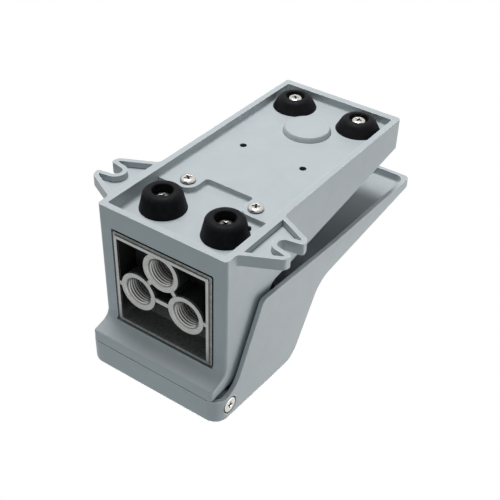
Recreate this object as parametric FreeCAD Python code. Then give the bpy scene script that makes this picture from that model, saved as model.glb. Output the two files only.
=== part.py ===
import FreeCAD, Part
import math
import os

from FreeCAD import Vector

# Foot pedal air valve: a cast base with a 5/2 spool valve in its rear block, and a
# treadle pedal that hinges above the ports. All sizes are in millimetres.
# While modelling, Y is 0 on the port face and falls towards the toe, and Z is 0 on the
# bottom rim of the base. Each shape is moved to the part's own origin when it is saved.

# Base tray
BASE_HALF_WIDTH = 33.0
BASE_LENGTH = 141.9
BASE_WALL = 3.0
TOE_WALL = 3.9
FLOOR_THICKNESS = 3.0
RECESS_TOE = 4.0
RECESS_REAR = 7.0
STEP_SIDE = 35.0
STEP_MIDDLE = 47.0
STEP_CORNER_RADIUS = 1.5
RECESS_ROUND_REAR = 1.2
RECESS_ROUND_TOE = 0.8
TOE_WALL_HEIGHT = 17.0
WALL_RISE_PER_MM = 0.1355
BASE_CORNER_RADIUS = 1.6
TOE_TOP_ROUND = 1.2
TRAY_CORNER_RADIUS = 1.0

# Rear block, the portal that holds the valve body
BLOCK_DEPTH = 31.5
BLOCK_TOP = 66.0
BLOCK_ROOF = 6.0
BLOCK_ROOT_RADIUS = 5.5
BLOCK_TOP_ROUND = 1.5
OPENING_HALF_WIDTH = 26.5
OPENING_CORNER_RADIUS = 0.8
FLANGE_REACH = 9.7
FLANGE_TOP = 68.7
FLANGE_BAND = 6.0
FLANGE_FRONT = 7.5
FLANGE_FILLET = 5.0
FLANGE_ROUND = 0.8
FLANGE_REAR_ROUND = 0.4
FLANGE_SLOPE_START = 60.1

# Fixing ears, one each side
EAR_CENTRE = 23.2
EAR_THICKNESS = 5.5
EAR_REACH = 50.4
EAR_ROOT_HALF = 16.5
EAR_ROOT_FLARE = 1.9
EAR_ROOT_SINK = 1.2
EAR_ROOT_RADIUS = 2.9
EAR_TIP_HALF = 8.3
EAR_TIP_BEVEL = 1.2
EAR_TIP_RADIUS = 2.6
EAR_MOUTH_RADIUS = 1.6
EAR_WALL = 2.2
EAR_POCKET_DEPTH = 3.0
SLOT_HALF_WIDTH = 3.0
SLOT_MOUTH_HALF = 4.2
SLOT_END = 40.9

# Hinge of the pedal
HINGE_Y = 0.9
HINGE_Z = 75.0
LUG_RADIUS = 4.5
LUG_LENGTH = 10.0
LUG_INSET = 3.2
LUG_CLEARANCE = 0.4
PIVOT_RADIUS = 2.5
PIVOT_THREAD_RADIUS = 2.0
PIVOT_THREAD_DEPTH = 8.0
PIVOT_SCREW_REACH = 7.0
PIVOT_HEAD_RADIUS = 3.6
PIVOT_HEAD_HEIGHT = 1.3
PIVOT_HEAD_ROUND = 0.35
RUNNING_CLEARANCE = 0.05

# Pedal shell
PEDAL_SIDE_GAP = 1.2
PEDAL_WALL = 2.3
PEDAL_TOE_REACH = 14.5
HEEL_TOP = 81.9
HEEL_RISE_PER_MM = 0.08
FRONT_TOP_Y = 48.6
FRONT_FOOT_Y = 69.6
FRONT_FOOT_Z = 53.2
TOE_TOP = 45.9
HEEL_ROUND = 12.0
FOOT_ROUND = 15.0
PEDAL_EDGE_RADIUS = 2.0
TOP_RIM_BAND = 5.0
PEDAL_REAR_CORNER = 7.0
PEDAL_TOE_CORNER = 3.0
PEDAL_INNER_ROUND_REAR = 1.5
PEDAL_INNER_ROUND_TOE = 1.0
PLATE_CORNER_Y = 22.0
PLATE_CORNER_Z = 31.9
PLATE_BOW_Z = 36.6
PLATE_BOW_RADIUS = 260.0
PLATE_TOE_Z = 39.6
PLATE_REAR_GAP = 0.4
PLATE_NECK_Y = 2.7
PLATE_NECK_RADIUS = 12.0
PLATE_CORNER_RADIUS = 3.5
PEDAL_BOSS_RADIUS = 5.2
COUNTERBORE_RADIUS = 4.2
COUNTERBORE_DEPTH = 1.5
TREAD_RIB_PITCH = 6.0
TREAD_RIB_END_INSET = 8.0
TREAD_RIB_START_Y = 86.0
TREAD_RIB_WIDTH = 2.2
TREAD_RIB_HEIGHT = 0.8
TREAD_RIB_ROUND = 0.5
TREAD_RIB_HALF_LENGTH = 29.0

# Valve body
VALVE_HALF_WIDTH = 25.7
VALVE_PROUD = 0.8
VALVE_LENGTH = 46.0
VALVE_ROOF_GAP = 0.6
VALVE_CORNER_RADIUS = 0.8
PAD_HEIGHT = 1.0
PAD_RADIUS = 5.0
FRAME_WALL = 2.5
POCKET_DEPTH = 11.3
POCKET_CORNER_RADIUS = 0.6
WEB_THICKNESS = 2.2
WEB_SETBACK = 0.3
RIM_STEP_WIDTH = 1.1
RIM_STEP_DEPTH = 0.9
PORT_RADIUS = 6.58
PORT_RING_RADIUS = 9.2
OUTLET_PORT_DEPTH = 12.0
SUPPLY_PORT_DEPTH = 12.6
PORT_CHAMFER = 0.5
SUPPLY_PORT_Z = 20.7
OUTLET_PORT_X = 12.7
OUTLET_PORT_Z = 36.9

# Spool, its bore and the galleries
SPOOL_AXIS_Y = 24.0
BORE_RADIUS = 8.0
GROOVE_RADIUS = 10.0
GROOVE_WIDTH = 2.8
GROOVE_PITCH = 6.2
GROOVE_COUNT = 5
OUTLET_A_GROOVE = 1
SUPPLY_GROOVE = 2
OUTLET_B_GROOVE = 3
EXHAUST_GROOVES = (0, 4)
LOWEST_GROOVE_Z = 25.5
PASSAGE_RADIUS = 2.0
SUPPLY_PASSAGE_RISE = 1.0
SPOOL_LAND_RADIUS = 7.6
SPOOL_LAND_ROUND = 0.3
SPOOL_END_ROUND = 0.4
SPOOL_LAND_MARGIN = 1.4
SPOOL_LAND_CLEARANCE = 0.1
SEAL_PAIR_SPACING = 3.3
SPOOL_NECK_RADIUS = 5.0
SPOOL_BOTTOM_Z = 21.2
SPOOL_TOP_Z = 53.4
SEAL_RADIUS = 0.75
SEAL_GROOVE_WIDTH = 1.8
SEAL_GAP = 0.05
SPRING_BORE_RADIUS = 3.4
SPRING_BORE_TOP = 30.0
SPOOL_SPRING_RADIUS = 2.6
SPOOL_SPRING_WIRE = 0.4
SPOOL_SPRING_TURNS = 7
EXHAUST_RADIUS = 4.9
EXHAUST_DEPTH = 9.0
SILENCER_HEAD_RADIUS = 5.8
SILENCER_HEAD_LENGTH = 4.0
SILENCER_HEAD_ROUND = 1.5
SILENCER_STEM_GAP = 2.0

# Bottom cap of the bore and its snap ring
CAP_LOW_Z = 13.0
CAP_TOP_Z = 16.2
CAP_ROUND = 0.3
RING_THICKNESS = 1.0
RING_DEPTH = 0.7
RING_WIDTH = 2.0
RING_OPENING = 4.0
CAP_SEAL_Z = 14.6

# Guide bush and plunger
BUSH_LOW_RADIUS = 10.5
BUSH_COLLAR_RADIUS = 11.5
BUSH_NECK_RADIUS = 7.5
BUSH_HOLE_GAP = 0.5
BUSH_COLLAR_TOP = 67.2
BUSH_TOP = 69.0
BUSH_LOW_ROUND = 0.4
BUSH_COLLAR_ROUND = 0.8
BUSH_NECK_ROUND = 0.6
BUSH_SEAL_Z = 56.0
PLUNGER_RADIUS = 4.0
PLUNGER_HEAD_RADIUS = 6.5
PLUNGER_HEAD_LOW = 73.6
PLUNGER_TOP = 77.7
PLUNGER_DOME_RADIUS = 12.0
PLUNGER_GAP = 0.3
STRIKER_RADIUS = 6.0
WIPER_RADIUS = 5.8
WIPER_HEIGHT = 1.6
WIPER_LIP_WIDTH = 0.6
WIPER_LIP_DROP = 0.5
WIPER_ROUND = 0.4

# Rubber feet and their screws
FOOT_PROUD = 2.0
REAR_FOOT_INSET = 16.75
REAR_FOOT_Y = 21.6
REAR_FOOT_BASE_RADIUS = 10.4
REAR_FOOT_TIP_RADIUS = 8.2
TOE_FOOT_INSET = 14.85
TOE_FOOT_END_INSET = 15.7
TOE_FOOT_BASE_RADIUS = 10.9
TOE_FOOT_TIP_RADIUS = 7.6
FOOT_HOLE_RADIUS = 4.6
FOOT_TIP_ROUND = 1.9
FOOT_HOLE_ROUND = 0.6
FOOT_SEAT_REAR = 2.8
FOOT_SEAT_TOE = 2.2
WASHER_RADIUS = 4.4
WASHER_THICKNESS = 0.8
SCREW_RADIUS = 2.0
SCREW_CLEARANCE = 0.2
FOOT_SCREW_HEAD_RADIUS = 3.7
FOOT_SCREW_HEAD_HEIGHT = 2.2
REAR_FOOT_SCREW_SHORT = 0.3
TOE_FOOT_SCREW_SHORT = 0.5
TOE_BOSS_HEIGHT = 4.0
TOE_BOSS_RADIUS = 5.0

# Screws that hold the valve body to the floor
BODY_SCREW_X = 18.0
BODY_SCREW_END_INSET = 5.4
BODY_SCREW_HEAD_RADIUS = 3.5
BODY_SCREW_HEAD_HEIGHT = 1.8
BODY_SCREW_LOBE = 5.6
BODY_SCREW_GRIP = 9.0
HEAD_ROUND = 0.7
CROSS_LENGTH = 2.9
CROSS_WIDTH = 0.9
CROSS_DEPTH = 1.1
CROSS_TAPER = 0.2

# Tapped holes in the floor, and the cup of the pedal's return spring
TAPPED_X = 16.4
TAPPED_Y = 79.6
TAPPED_RADIUS = 1.65
CUP_END_INSET = 32.9
CUP_RADIUS = 11.5
CUP_TIP_RADIUS = 10.3
CUP_DROP = 2.5
CUP_INNER_RADIUS = 9.4
CUP_FLOOR = 2.5
CUP_ROUND = 0.6
PEDAL_SPRING_RADIUS = 7.6
PEDAL_SPRING_WIRE = 0.85
PEDAL_SPRING_TURNS = 7
SPRING_SEAT_RADIUS = 9.6
SPRING_SEAT_DROP = 2.2
SPRING_SPIGOT_RADIUS = 5.8
SPRING_SPIGOT_LENGTH = 3.0
SPRING_GAP = 0.3

REAR_FOOT_X = BASE_HALF_WIDTH - REAR_FOOT_INSET
TOE_FOOT_X = BASE_HALF_WIDTH - TOE_FOOT_INSET
TOE_FOOT_Y = BASE_LENGTH - TOE_FOOT_END_INSET
CUP_Y = BASE_LENGTH - CUP_END_INSET
BODY_SCREW_Y = VALVE_LENGTH - BODY_SCREW_END_INSET
FLOOR_TOP_REAR = RECESS_REAR + FLOOR_THICKNESS
FLOOR_TOP_TOE = RECESS_TOE + FLOOR_THICKNESS
VALVE_LOW = FLOOR_TOP_REAR + PAD_HEIGHT
OPENING_TOP = BLOCK_TOP - BLOCK_ROOF
VALVE_TOP = OPENING_TOP - VALVE_ROOF_GAP
TRAY_HALF_WIDTH = BASE_HALF_WIDTH - BASE_WALL
PEDAL_INNER = BASE_HALF_WIDTH + PEDAL_SIDE_GAP
PEDAL_HALF_WIDTH = PEDAL_INNER + PEDAL_WALL
PEDAL_TOE = BASE_LENGTH + PEDAL_TOE_REACH
LUG_OUTER = BASE_HALF_WIDTH - LUG_INSET
BOSS_INNER = LUG_OUTER + LUG_CLEARANCE
ORIGIN = Vector(0, (PEDAL_TOE - FLANGE_REACH) / 2, FOOT_PROUD)
TINY = 1e-6
# Depth that a joined piece sinks in, or that a cutting tool stands out
OVERLAP = 1.0


def save(name, shape):
    """Move a finished shape to the part's origin and write its STEP file."""
    placed = shape.copy()
    placed.translate(ORIGIN)
    placed.exportStep("parts/" + name + ".step")
    print(name, "solids", len(placed.Solids), "valid", placed.isValid())


def rounded_face(corners, place):
    """Flat face from corners (u, v, radius), each rounded by its own radius."""
    joints = []
    for index, (u, v, radius) in enumerate(corners):
        here = Vector(u, v, 0)
        previous = corners[index - 1]
        following = corners[(index + 1) % len(corners)]
        before = Vector(previous[0], previous[1], 0)
        after = Vector(following[0], following[1], 0)
        back = (before - here).normalize()
        ahead = (after - here).normalize()
        half = back.getAngle(ahead) / 2
        if radius < TINY:
            joints.append((here, None, here))
            continue
        reach = radius / math.tan(half)
        inward = (back + ahead).normalize()
        middle = here + inward * (radius / math.sin(half) - radius)
        joints.append((here + back * reach, middle, here + ahead * reach))
    edges = []
    for index, (start, middle, end) in enumerate(joints):
        following = joints[(index + 1) % len(joints)][0]
        if middle is not None:
            edges.append(Part.Arc(place(start), place(middle), place(end)).toShape())
        if (following - end).Length > TINY:
            edges.append(Part.makeLine(place(end), place(following)))
    return Part.Face(Part.Wire(edges))


def side_prism(corners, half_width):
    """Prism whose side view (y, z, radius) runs across the part from -x to +x."""
    face = rounded_face(corners, lambda p: Vector(-half_width, p.x, p.y))
    return face.extrude(Vector(2 * half_width, 0, 0))


def plan_prism(corners, low, high):
    """Prism whose plan (x, y, radius) rises from low to high."""
    face = rounded_face(corners, lambda p: Vector(p.x, p.y, low))
    return face.extrude(Vector(0, 0, high - low))


def rear_prism(corners, rear, depth):
    """Prism whose rear view (x, z, radius) runs from y = rear towards the toe."""
    face = rounded_face(corners, lambda p: Vector(p.x, rear, p.y))
    return face.extrude(Vector(0, -depth, 0))


def turned(corners, x, y):
    """Solid turned about the vertical line at x, y from corners (r, z, radius)."""
    face = rounded_face(corners, lambda p: Vector(p.x, 0, p.y))
    solid = face.revolve(Vector(0, 0, 0), Vector(0, 0, 1), 360)
    solid.translate(Vector(x, y, 0))
    return solid


def box(x0, x1, y0, y1, z0, z1):
    return Part.makeBox(x1 - x0, y1 - y0, z1 - z0, Vector(x0, y0, z0))


def rod(radius, start, end):
    """Round rod from one point to another."""
    span = end - start
    return Part.makeCylinder(radius, span.Length, start, span)


def mirrored(shape):
    return shape.mirror(Vector(0, 0, 0), Vector(1, 0, 0))


def rectangle(x0, x1, y0, y1, radius):
    return [(x0, y0, radius), (x1, y0, radius), (x1, y1, radius), (x0, y1, radius)]


def edges_where(shape, test):
    """Edges whose middle point and direction pass a test."""
    found = []
    for edge in shape.Edges:
        middle = edge.valueAt((edge.FirstParameter + edge.LastParameter) / 2)
        if test(edge, middle):
            found.append(edge)
    return found


def is_upright(edge):
    """True for a straight vertical edge."""
    if not isinstance(edge.Curve, Part.Line):
        return False
    return abs(edge.tangentAt(edge.FirstParameter).z) > 1 - TINY


def wall_top(y):
    """Height of the tray's sloping side wall at a place along the part."""
    return TOE_WALL_HEIGHT + WALL_RISE_PER_MM * (y + BASE_LENGTH)


def cross_recess():
    """Cross recess, mouth at z = 0 and cut upwards, for a screw that is seen from below."""
    length = CROSS_LENGTH
    taper = CROSS_TAPER
    bar = Part.makeWedge(
        -length / 2, 0, -CROSS_WIDTH / 2, -CROSS_WIDTH * taper, -length * taper,
        length / 2, CROSS_DEPTH, CROSS_WIDTH / 2, CROSS_WIDTH * taper, length * taper,
    )
    bar.rotate(Vector(0, 0, 0), Vector(1, 0, 0), 90)
    other = bar.copy()
    other.rotate(Vector(0, 0, 0), Vector(0, 0, 1), 90)
    return bar.fuse(other)


def pan_screw(head_radius, head_height, shank_radius, length):
    """Cross recessed pan head screw that points up, with its head below z = 0."""
    profile = [
        (0, -head_height, 0),
        (head_radius, -head_height, HEAD_ROUND),
        (head_radius, 0, 0),
        (0, 0, 0),
    ]
    head = turned(profile, 0, 0)
    shank = Part.makeCylinder(shank_radius, length)
    recess = cross_recess()
    recess.translate(Vector(0, 0, -head_height))
    return head.fuse(shank).cut(recess).removeSplitter()


def tray_and_block():
    """Outer form of the casting: low tray, rear block and the flange over the ports."""
    toe = -BASE_LENGTH
    block_front = -BLOCK_DEPTH
    flange_low = FLANGE_TOP - FLANGE_BAND
    return side_prism(
        [
            (toe, 0, 0),
            (toe, wall_top(toe), TOE_TOP_ROUND),
            (block_front, wall_top(block_front), BLOCK_ROOT_RADIUS),
            (block_front, BLOCK_TOP, BLOCK_TOP_ROUND),
            (-FLANGE_FRONT, BLOCK_TOP, FLANGE_ROUND),
            (-FLANGE_FRONT, FLANGE_TOP, FLANGE_ROUND),
            (FLANGE_REACH, FLANGE_TOP, FLANGE_REAR_ROUND),
            (FLANGE_REACH, flange_low, FLANGE_ROUND),
            (0, FLANGE_SLOPE_START, FLANGE_FILLET),
            (0, 0, 0),
        ],
        BASE_HALF_WIDTH,
    )


def toe_slab_plan():
    """Plan of the lower step of the floor, with a lobe round each body screw."""
    side = TRAY_HALF_WIDTH
    edge = BODY_SCREW_X - BODY_SCREW_LOBE
    toe = -BASE_LENGTH + TOE_WALL
    right = [
        (side, toe, 0),
        (side, -STEP_SIDE, 0),
        (edge, -STEP_SIDE, BODY_SCREW_LOBE),
        (edge, -STEP_MIDDLE, STEP_CORNER_RADIUS),
    ]
    left = [(-x, y, radius) for x, y, radius in reversed(right)]
    return right + left


def recess_below():
    """Hollow of the underside, deep behind the step and shallow towards the toe."""
    side = TRAY_HALF_WIDTH
    plan = rectangle(-side, side, -BASE_LENGTH + TOE_WALL, -BASE_WALL, TRAY_CORNER_RADIUS)
    whole = plan_prism(plan, 0, RECESS_REAR)
    step = plan_prism(toe_slab_plan(), RECESS_TOE, RECESS_REAR)
    hollow = whole.cut(step)
    deep = edges_where(hollow, lambda e, m: lies_at(e, RECESS_REAR))
    hollow = hollow.makeFillet(RECESS_ROUND_REAR, deep)
    shallow = edges_where(hollow, lambda e, m: lies_at(e, RECESS_TOE) and by_tray_wall(m))
    return hollow.makeFillet(RECESS_ROUND_TOE, shallow)


def lies_at(edge, height):
    """True for an edge whose ends are both at one height."""
    return all(abs(vertex.Point.z - height) < TINY for vertex in edge.Vertexes)


def by_tray_wall(point):
    """True for a point at the foot of the tray's side walls or its toe wall."""
    toe = -BASE_LENGTH + TOE_WALL + TRAY_CORNER_RADIUS
    return abs(point.x) > TRAY_HALF_WIDTH - TRAY_CORNER_RADIUS or point.y < toe


def room_above():
    """Open room of the tray, in front of the block."""
    side = TRAY_HALF_WIDTH
    step = -STEP_MIDDLE - FLOOR_THICKNESS
    plan = rectangle(-side, side, -BASE_LENGTH + TOE_WALL, step, TRAY_CORNER_RADIUS)
    well = plan_prism(plan, FLOOR_TOP_TOE, BLOCK_TOP)
    shelf = box(-side, side, step - FLOOR_THICKNESS, -BLOCK_DEPTH, FLOOR_TOP_REAR, BLOCK_TOP)
    return well.fuse(shelf)


def ear_plan():
    """Plan of the right ear with its slot open to the outside."""
    root = BASE_HALF_WIDTH - EAR_ROOT_SINK
    flare = EAR_ROOT_HALF + EAR_ROOT_FLARE
    centre = SLOT_END + SLOT_HALF_WIDTH
    half = [
        (root, flare, 0),
        (BASE_HALF_WIDTH, flare, 0),
        (BASE_HALF_WIDTH, EAR_ROOT_HALF, EAR_ROOT_RADIUS),
        (EAR_REACH - EAR_TIP_BEVEL, EAR_TIP_HALF, EAR_TIP_RADIUS),
        (EAR_REACH, SLOT_MOUTH_HALF, EAR_MOUTH_RADIUS),
        (centre, SLOT_HALF_WIDTH, 0),
    ]
    far = [(x, -EAR_CENTRE + v, radius) for x, v, radius in half]
    near = [(x, -EAR_CENTRE - v, radius) for x, v, radius in reversed(half)]
    return far + near


def ear():
    """Right fixing ear: a flat lug with a slot, hollow underneath."""
    centre = SLOT_END + SLOT_HALF_WIDTH
    outline = plan_prism(ear_plan(), 0, EAR_THICKNESS)
    slot_at = Vector(centre, -EAR_CENTRE, 0)
    body = outline.cut(post(SLOT_HALF_WIDTH, slot_at, 0, EAR_THICKNESS))
    outer = rounded_face(ear_plan(), lambda p: Vector(p.x, p.y, 0))
    shrunk = outer.makeOffset2D(-EAR_WALL)
    round_wall = post(SLOT_HALF_WIDTH + EAR_WALL, slot_at, 0, EAR_POCKET_DEPTH)
    pocket = shrunk.extrude(Vector(0, 0, EAR_POCKET_DEPTH)).cut(round_wall)
    return body.cut(pocket)


def hinge_lug(outer_x):
    """Upright lug on the flange that takes one pivot screw, and its threaded hole."""
    inner_x = outer_x - LUG_LENGTH
    inner = Vector(inner_x, HINGE_Y, HINGE_Z)
    outer = Vector(outer_x, HINGE_Y, HINGE_Z)
    web = box(inner_x, outer_x, HINGE_Y - LUG_RADIUS, HINGE_Y + LUG_RADIUS, BLOCK_TOP - OVERLAP, HINGE_Z)
    lug = rod(LUG_RADIUS, inner, outer).fuse(web)
    hole = rod(PIVOT_THREAD_RADIUS, outer - Vector(PIVOT_THREAD_DEPTH, 0, 0), outer)
    return lug, hole


def base_housing():
    """The casting that carries everything: tray, block, ears, hinge lugs and bosses."""
    body = tray_and_block()
    corners = edges_where(body, lambda e, m: is_upright(e) and m.y < -BASE_LENGTH + OVERLAP)
    body = body.makeFillet(BASE_CORNER_RADIUS, corners)
    body = body.cut(room_above()).cut(recess_below())
    side = OPENING_HALF_WIDTH
    portal = rectangle(-side, side, FLOOR_TOP_REAR, OPENING_TOP, OPENING_CORNER_RADIUS)
    body = body.cut(rear_prism(portal, OVERLAP, BLOCK_DEPTH + 2 * OVERLAP))
    bush_at = Vector(0, -SPOOL_AXIS_Y, 0)
    bush_radius = BUSH_COLLAR_RADIUS + BUSH_HOLE_GAP
    body = body.cut(post(bush_radius, bush_at, OPENING_TOP - OVERLAP, FLANGE_TOP + OVERLAP))
    right = ear()
    lug, hole = hinge_lug(LUG_OUTER)
    pieces = [right, mirrored(right), lug, mirrored(lug), spring_cup()]
    cuts = [hole, mirrored(hole), spring_cup_hollow()]
    for side in (-1, 1):
        added, removed = floor_fixings(side)
        pieces += added
        cuts += removed
    body = body.multiFuse(pieces)
    for cut in cuts:
        body = body.cut(cut)
    return body.removeSplitter()


def floor_fixings(side):
    """Pads and bosses on the floor of one side, and the holes through them."""
    rear = Vector(side * REAR_FOOT_X, -REAR_FOOT_Y, 0)
    hold = Vector(side * BODY_SCREW_X, -BODY_SCREW_Y, 0)
    toe = Vector(side * TOE_FOOT_X, -TOE_FOOT_Y, 0)
    tapped = Vector(side * TAPPED_X, -TAPPED_Y, 0)
    boss_top = FLOOR_TOP_TOE + TOE_BOSS_HEIGHT
    added = [
        post(PAD_RADIUS, rear, FLOOR_TOP_REAR - OVERLAP, VALVE_LOW),
        post(PAD_RADIUS, hold, FLOOR_TOP_REAR - OVERLAP, VALVE_LOW),
        post(TOE_BOSS_RADIUS, toe, FLOOR_TOP_TOE - OVERLAP, boss_top),
    ]
    removed = [
        post(SCREW_RADIUS, rear, RECESS_REAR - OVERLAP, VALVE_LOW + OVERLAP),
        post(SCREW_RADIUS, toe, RECESS_TOE - OVERLAP, boss_top + OVERLAP),
        post(SCREW_RADIUS + SCREW_CLEARANCE, hold, RECESS_TOE - OVERLAP, VALVE_LOW + OVERLAP),
        post(TAPPED_RADIUS, tapped, RECESS_TOE - OVERLAP, FLOOR_TOP_TOE + OVERLAP),
    ]
    return added, removed


def place_at(point, height):
    """The same place in plan at another height."""
    return Vector(point.x, point.y, height)


def post(radius, point, low, high):
    """Upright round rod at a place in plan."""
    return rod(radius, place_at(point, low), place_at(point, high))


def spring_cup():
    """Round boss under the floor that makes room for the return spring's seat."""
    low = RECESS_TOE - CUP_DROP
    corners = [
        (0, low, 0),
        (CUP_TIP_RADIUS, low, CUP_ROUND),
        (CUP_RADIUS, RECESS_TOE, 0),
        (CUP_RADIUS, FLOOR_TOP_TOE - OVERLAP, 0),
        (0, FLOOR_TOP_TOE - OVERLAP, 0),
    ]
    return turned(corners, 0, -CUP_Y)


def spring_cup_hollow():
    """Round seat of the return spring in the tray floor."""
    floor = RECESS_TOE - CUP_DROP + CUP_FLOOR
    return post(CUP_INNER_RADIUS, Vector(0, -CUP_Y, 0), floor, FLOOR_TOP_TOE + OVERLAP)


def groove_height(index):
    """Height of one of the five annular grooves: exhaust, A, supply, B, exhaust."""
    return LOWEST_GROOVE_Z + index * GROOVE_PITCH


def seal_heights():
    """Heights of the four moving seals with the pedal released."""
    out_a = groove_height(OUTLET_A_GROOVE)
    out_b = groove_height(OUTLET_B_GROOVE)
    return [out_a, out_a + SEAL_PAIR_SPACING, out_b, out_b + SEAL_PAIR_SPACING]


def valve_body():
    """Cast 5/2 valve body: a framed port face with three threaded ports, and the spool bore."""
    outline = rectangle(-VALVE_HALF_WIDTH, VALVE_HALF_WIDTH, VALVE_LOW, VALVE_TOP, VALVE_CORNER_RADIUS)
    body = rear_prism(outline, VALVE_PROUD, VALVE_PROUD + VALVE_LENGTH)
    lip_side = VALVE_HALF_WIDTH - RIM_STEP_WIDTH
    lip = rectangle(
        -lip_side, lip_side, VALVE_LOW + RIM_STEP_WIDTH, VALVE_TOP - RIM_STEP_WIDTH, VALVE_CORNER_RADIUS
    )
    rim = rear_prism(outline, VALVE_PROUD, RIM_STEP_DEPTH)
    body = body.cut(rim.cut(rear_prism(lip, VALVE_PROUD, RIM_STEP_DEPTH)))
    inner = VALVE_HALF_WIDTH - FRAME_WALL
    window = rectangle(-inner, inner, VALVE_LOW + FRAME_WALL, VALVE_TOP - FRAME_WALL, POCKET_CORNER_RADIUS)
    pocket = rear_prism(window, VALVE_PROUD, POCKET_DEPTH)
    face = VALVE_PROUD
    back = VALVE_PROUD - POCKET_DEPTH
    supply = Vector(0, 0, SUPPLY_PORT_Z)
    outlet_a = Vector(-OUTLET_PORT_X, 0, OUTLET_PORT_Z)
    outlet_b = Vector(OUTLET_PORT_X, 0, OUTLET_PORT_Z)
    kept = []
    for port in (supply, outlet_a, outlet_b):
        root = Vector(port.x, back - OVERLAP, port.z)
        kept.append(rod(PORT_RING_RADIUS, root, Vector(port.x, face, port.z)))
    half = WEB_THICKNESS / 2
    web_back = back - OVERLAP
    web_face = face - WEB_SETBACK
    kept.append(box(-inner, inner, web_back, web_face, OUTLET_PORT_Z - half, OUTLET_PORT_Z + half))
    for outlet in (outlet_a, outlet_b):
        kept.append(leaning_web(supply, outlet, web_back, web_face))
    body = body.cut(pocket.cut(kept[0].multiFuse(kept[1:])))
    for port, depth in (
        (supply, SUPPLY_PORT_DEPTH),
        (outlet_a, OUTLET_PORT_DEPTH),
        (outlet_b, OUTLET_PORT_DEPTH),
    ):
        mouth = Vector(port.x, face, port.z)
        end = Vector(port.x, face - depth, port.z)
        wide = PORT_RADIUS + PORT_CHAMFER
        body = body.cut(rod(PORT_RADIUS, end, mouth))
        body = body.cut(Part.makeCone(wide, PORT_RADIUS, PORT_CHAMFER, mouth, Vector(0, -1, 0)))
    return spool_room(body).removeSplitter()


def leaning_web(start, end, back, front):
    """Flat web in the port face from one port ring to another."""
    across = Vector(end.x - start.x, 0, end.z - start.z)
    web = Part.makeBox(across.Length, front - back, WEB_THICKNESS, Vector(0, back, -WEB_THICKNESS / 2))
    angle = math.degrees(math.atan2(across.z, across.x))
    web.rotate(Vector(0, 0, 0), Vector(0, -1, 0), angle)
    web.translate(Vector(start.x, 0, start.z))
    return web


def spool_room(body):
    """Cut the spool bore, its grooves, the passages, the exhausts and the fixing holes."""
    axis = Vector(0, -SPOOL_AXIS_Y, 0)
    cuts = [
        post(BORE_RADIUS, axis, VALVE_LOW - OVERLAP, SPOOL_TOP_Z),
        post(BUSH_LOW_RADIUS, axis, SPOOL_TOP_Z, VALVE_TOP + OVERLAP),
        post(BORE_RADIUS + RING_DEPTH, axis, CAP_LOW_Z - RING_THICKNESS, CAP_LOW_Z),
    ]
    half = GROOVE_WIDTH / 2
    for index in range(GROOVE_COUNT):
        middle = groove_height(index)
        cuts.append(post(GROOVE_RADIUS, axis, middle - half, middle + half))
    aside = GROOVE_RADIUS * math.sqrt(0.5)
    inside = VALVE_PROUD - OUTLET_PORT_DEPTH + PASSAGE_RADIUS
    supply_start = Vector(0, VALVE_PROUD - SUPPLY_PORT_DEPTH, SUPPLY_PORT_Z + SUPPLY_PASSAGE_RISE)
    supply_end = Vector(0, -SPOOL_AXIS_Y + GROOVE_RADIUS, groove_height(SUPPLY_GROOVE))
    cuts.append(rod(PASSAGE_RADIUS, supply_start, supply_end))
    for side, groove in ((-1, OUTLET_A_GROOVE), (1, OUTLET_B_GROOVE)):
        start = Vector(side * OUTLET_PORT_X, inside, OUTLET_PORT_Z)
        end = Vector(side * aside, -SPOOL_AXIS_Y + aside, groove_height(groove))
        cuts.append(rod(PASSAGE_RADIUS, start, end))
    for index in EXHAUST_GROOVES:
        middle = groove_height(index)
        front = Vector(0, -VALVE_LENGTH, middle)
        room = Vector(0, -VALVE_LENGTH + EXHAUST_DEPTH, middle)
        groove = Vector(0, -SPOOL_AXIS_Y - GROOVE_RADIUS, middle)
        cuts.append(rod(EXHAUST_RADIUS, room, front))
        cuts.append(rod(PASSAGE_RADIUS, groove, front))
    for side in (-1, 1):
        hold = Vector(side * BODY_SCREW_X, -BODY_SCREW_Y, 0)
        cuts.append(post(SCREW_RADIUS, hold, VALVE_LOW - OVERLAP, VALVE_LOW + BODY_SCREW_GRIP + OVERLAP))
    for cut in cuts:
        body = body.cut(cut)
    return body


def spool():
    """Turned spool with its lands, seal grooves and the blind bore of its spring."""
    heights = seal_heights()
    land = SPOOL_LAND_RADIUS
    neck = SPOOL_NECK_RADIUS
    edge = SPOOL_LAND_ROUND
    margin = SPOOL_LAND_MARGIN
    low_exhaust, high_exhaust = EXHAUST_GROOVES
    bottom_land_top = groove_height(low_exhaust) - GROOVE_WIDTH / 2 - SPOOL_LAND_CLEARANCE
    top_land_low = groove_height(high_exhaust) + GROOVE_WIDTH / 2
    corners = [
        (0, SPOOL_BOTTOM_Z, 0),
        (land, SPOOL_BOTTOM_Z, SPOOL_END_ROUND),
        (land, bottom_land_top, edge),
        (neck, bottom_land_top, 0),
        (neck, heights[0] - margin, 0),
        (land, heights[0] - margin, edge),
        (land, heights[1] + margin, edge),
        (neck, heights[1] + margin, 0),
        (neck, heights[2] - margin, 0),
        (land, heights[2] - margin, edge),
        (land, heights[3] + margin, edge),
        (neck, heights[3] + margin, 0),
        (neck, top_land_low, 0),
        (land, top_land_low, edge),
        (land, SPOOL_TOP_Z, SPOOL_END_ROUND),
        (0, SPOOL_TOP_Z, 0),
    ]
    body = turned(corners, 0, -SPOOL_AXIS_Y)
    axis = Vector(0, -SPOOL_AXIS_Y, 0)
    body = body.cut(post(SPRING_BORE_RADIUS, axis, SPOOL_BOTTOM_Z - OVERLAP, SPRING_BORE_TOP))
    for height in heights:
        body = body.cut(seal_groove(height, moving_seal_inner(), land + OVERLAP))
    return body


def moving_seal_inner():
    return BORE_RADIUS - SEAL_GAP - 2 * SEAL_RADIUS


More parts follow.
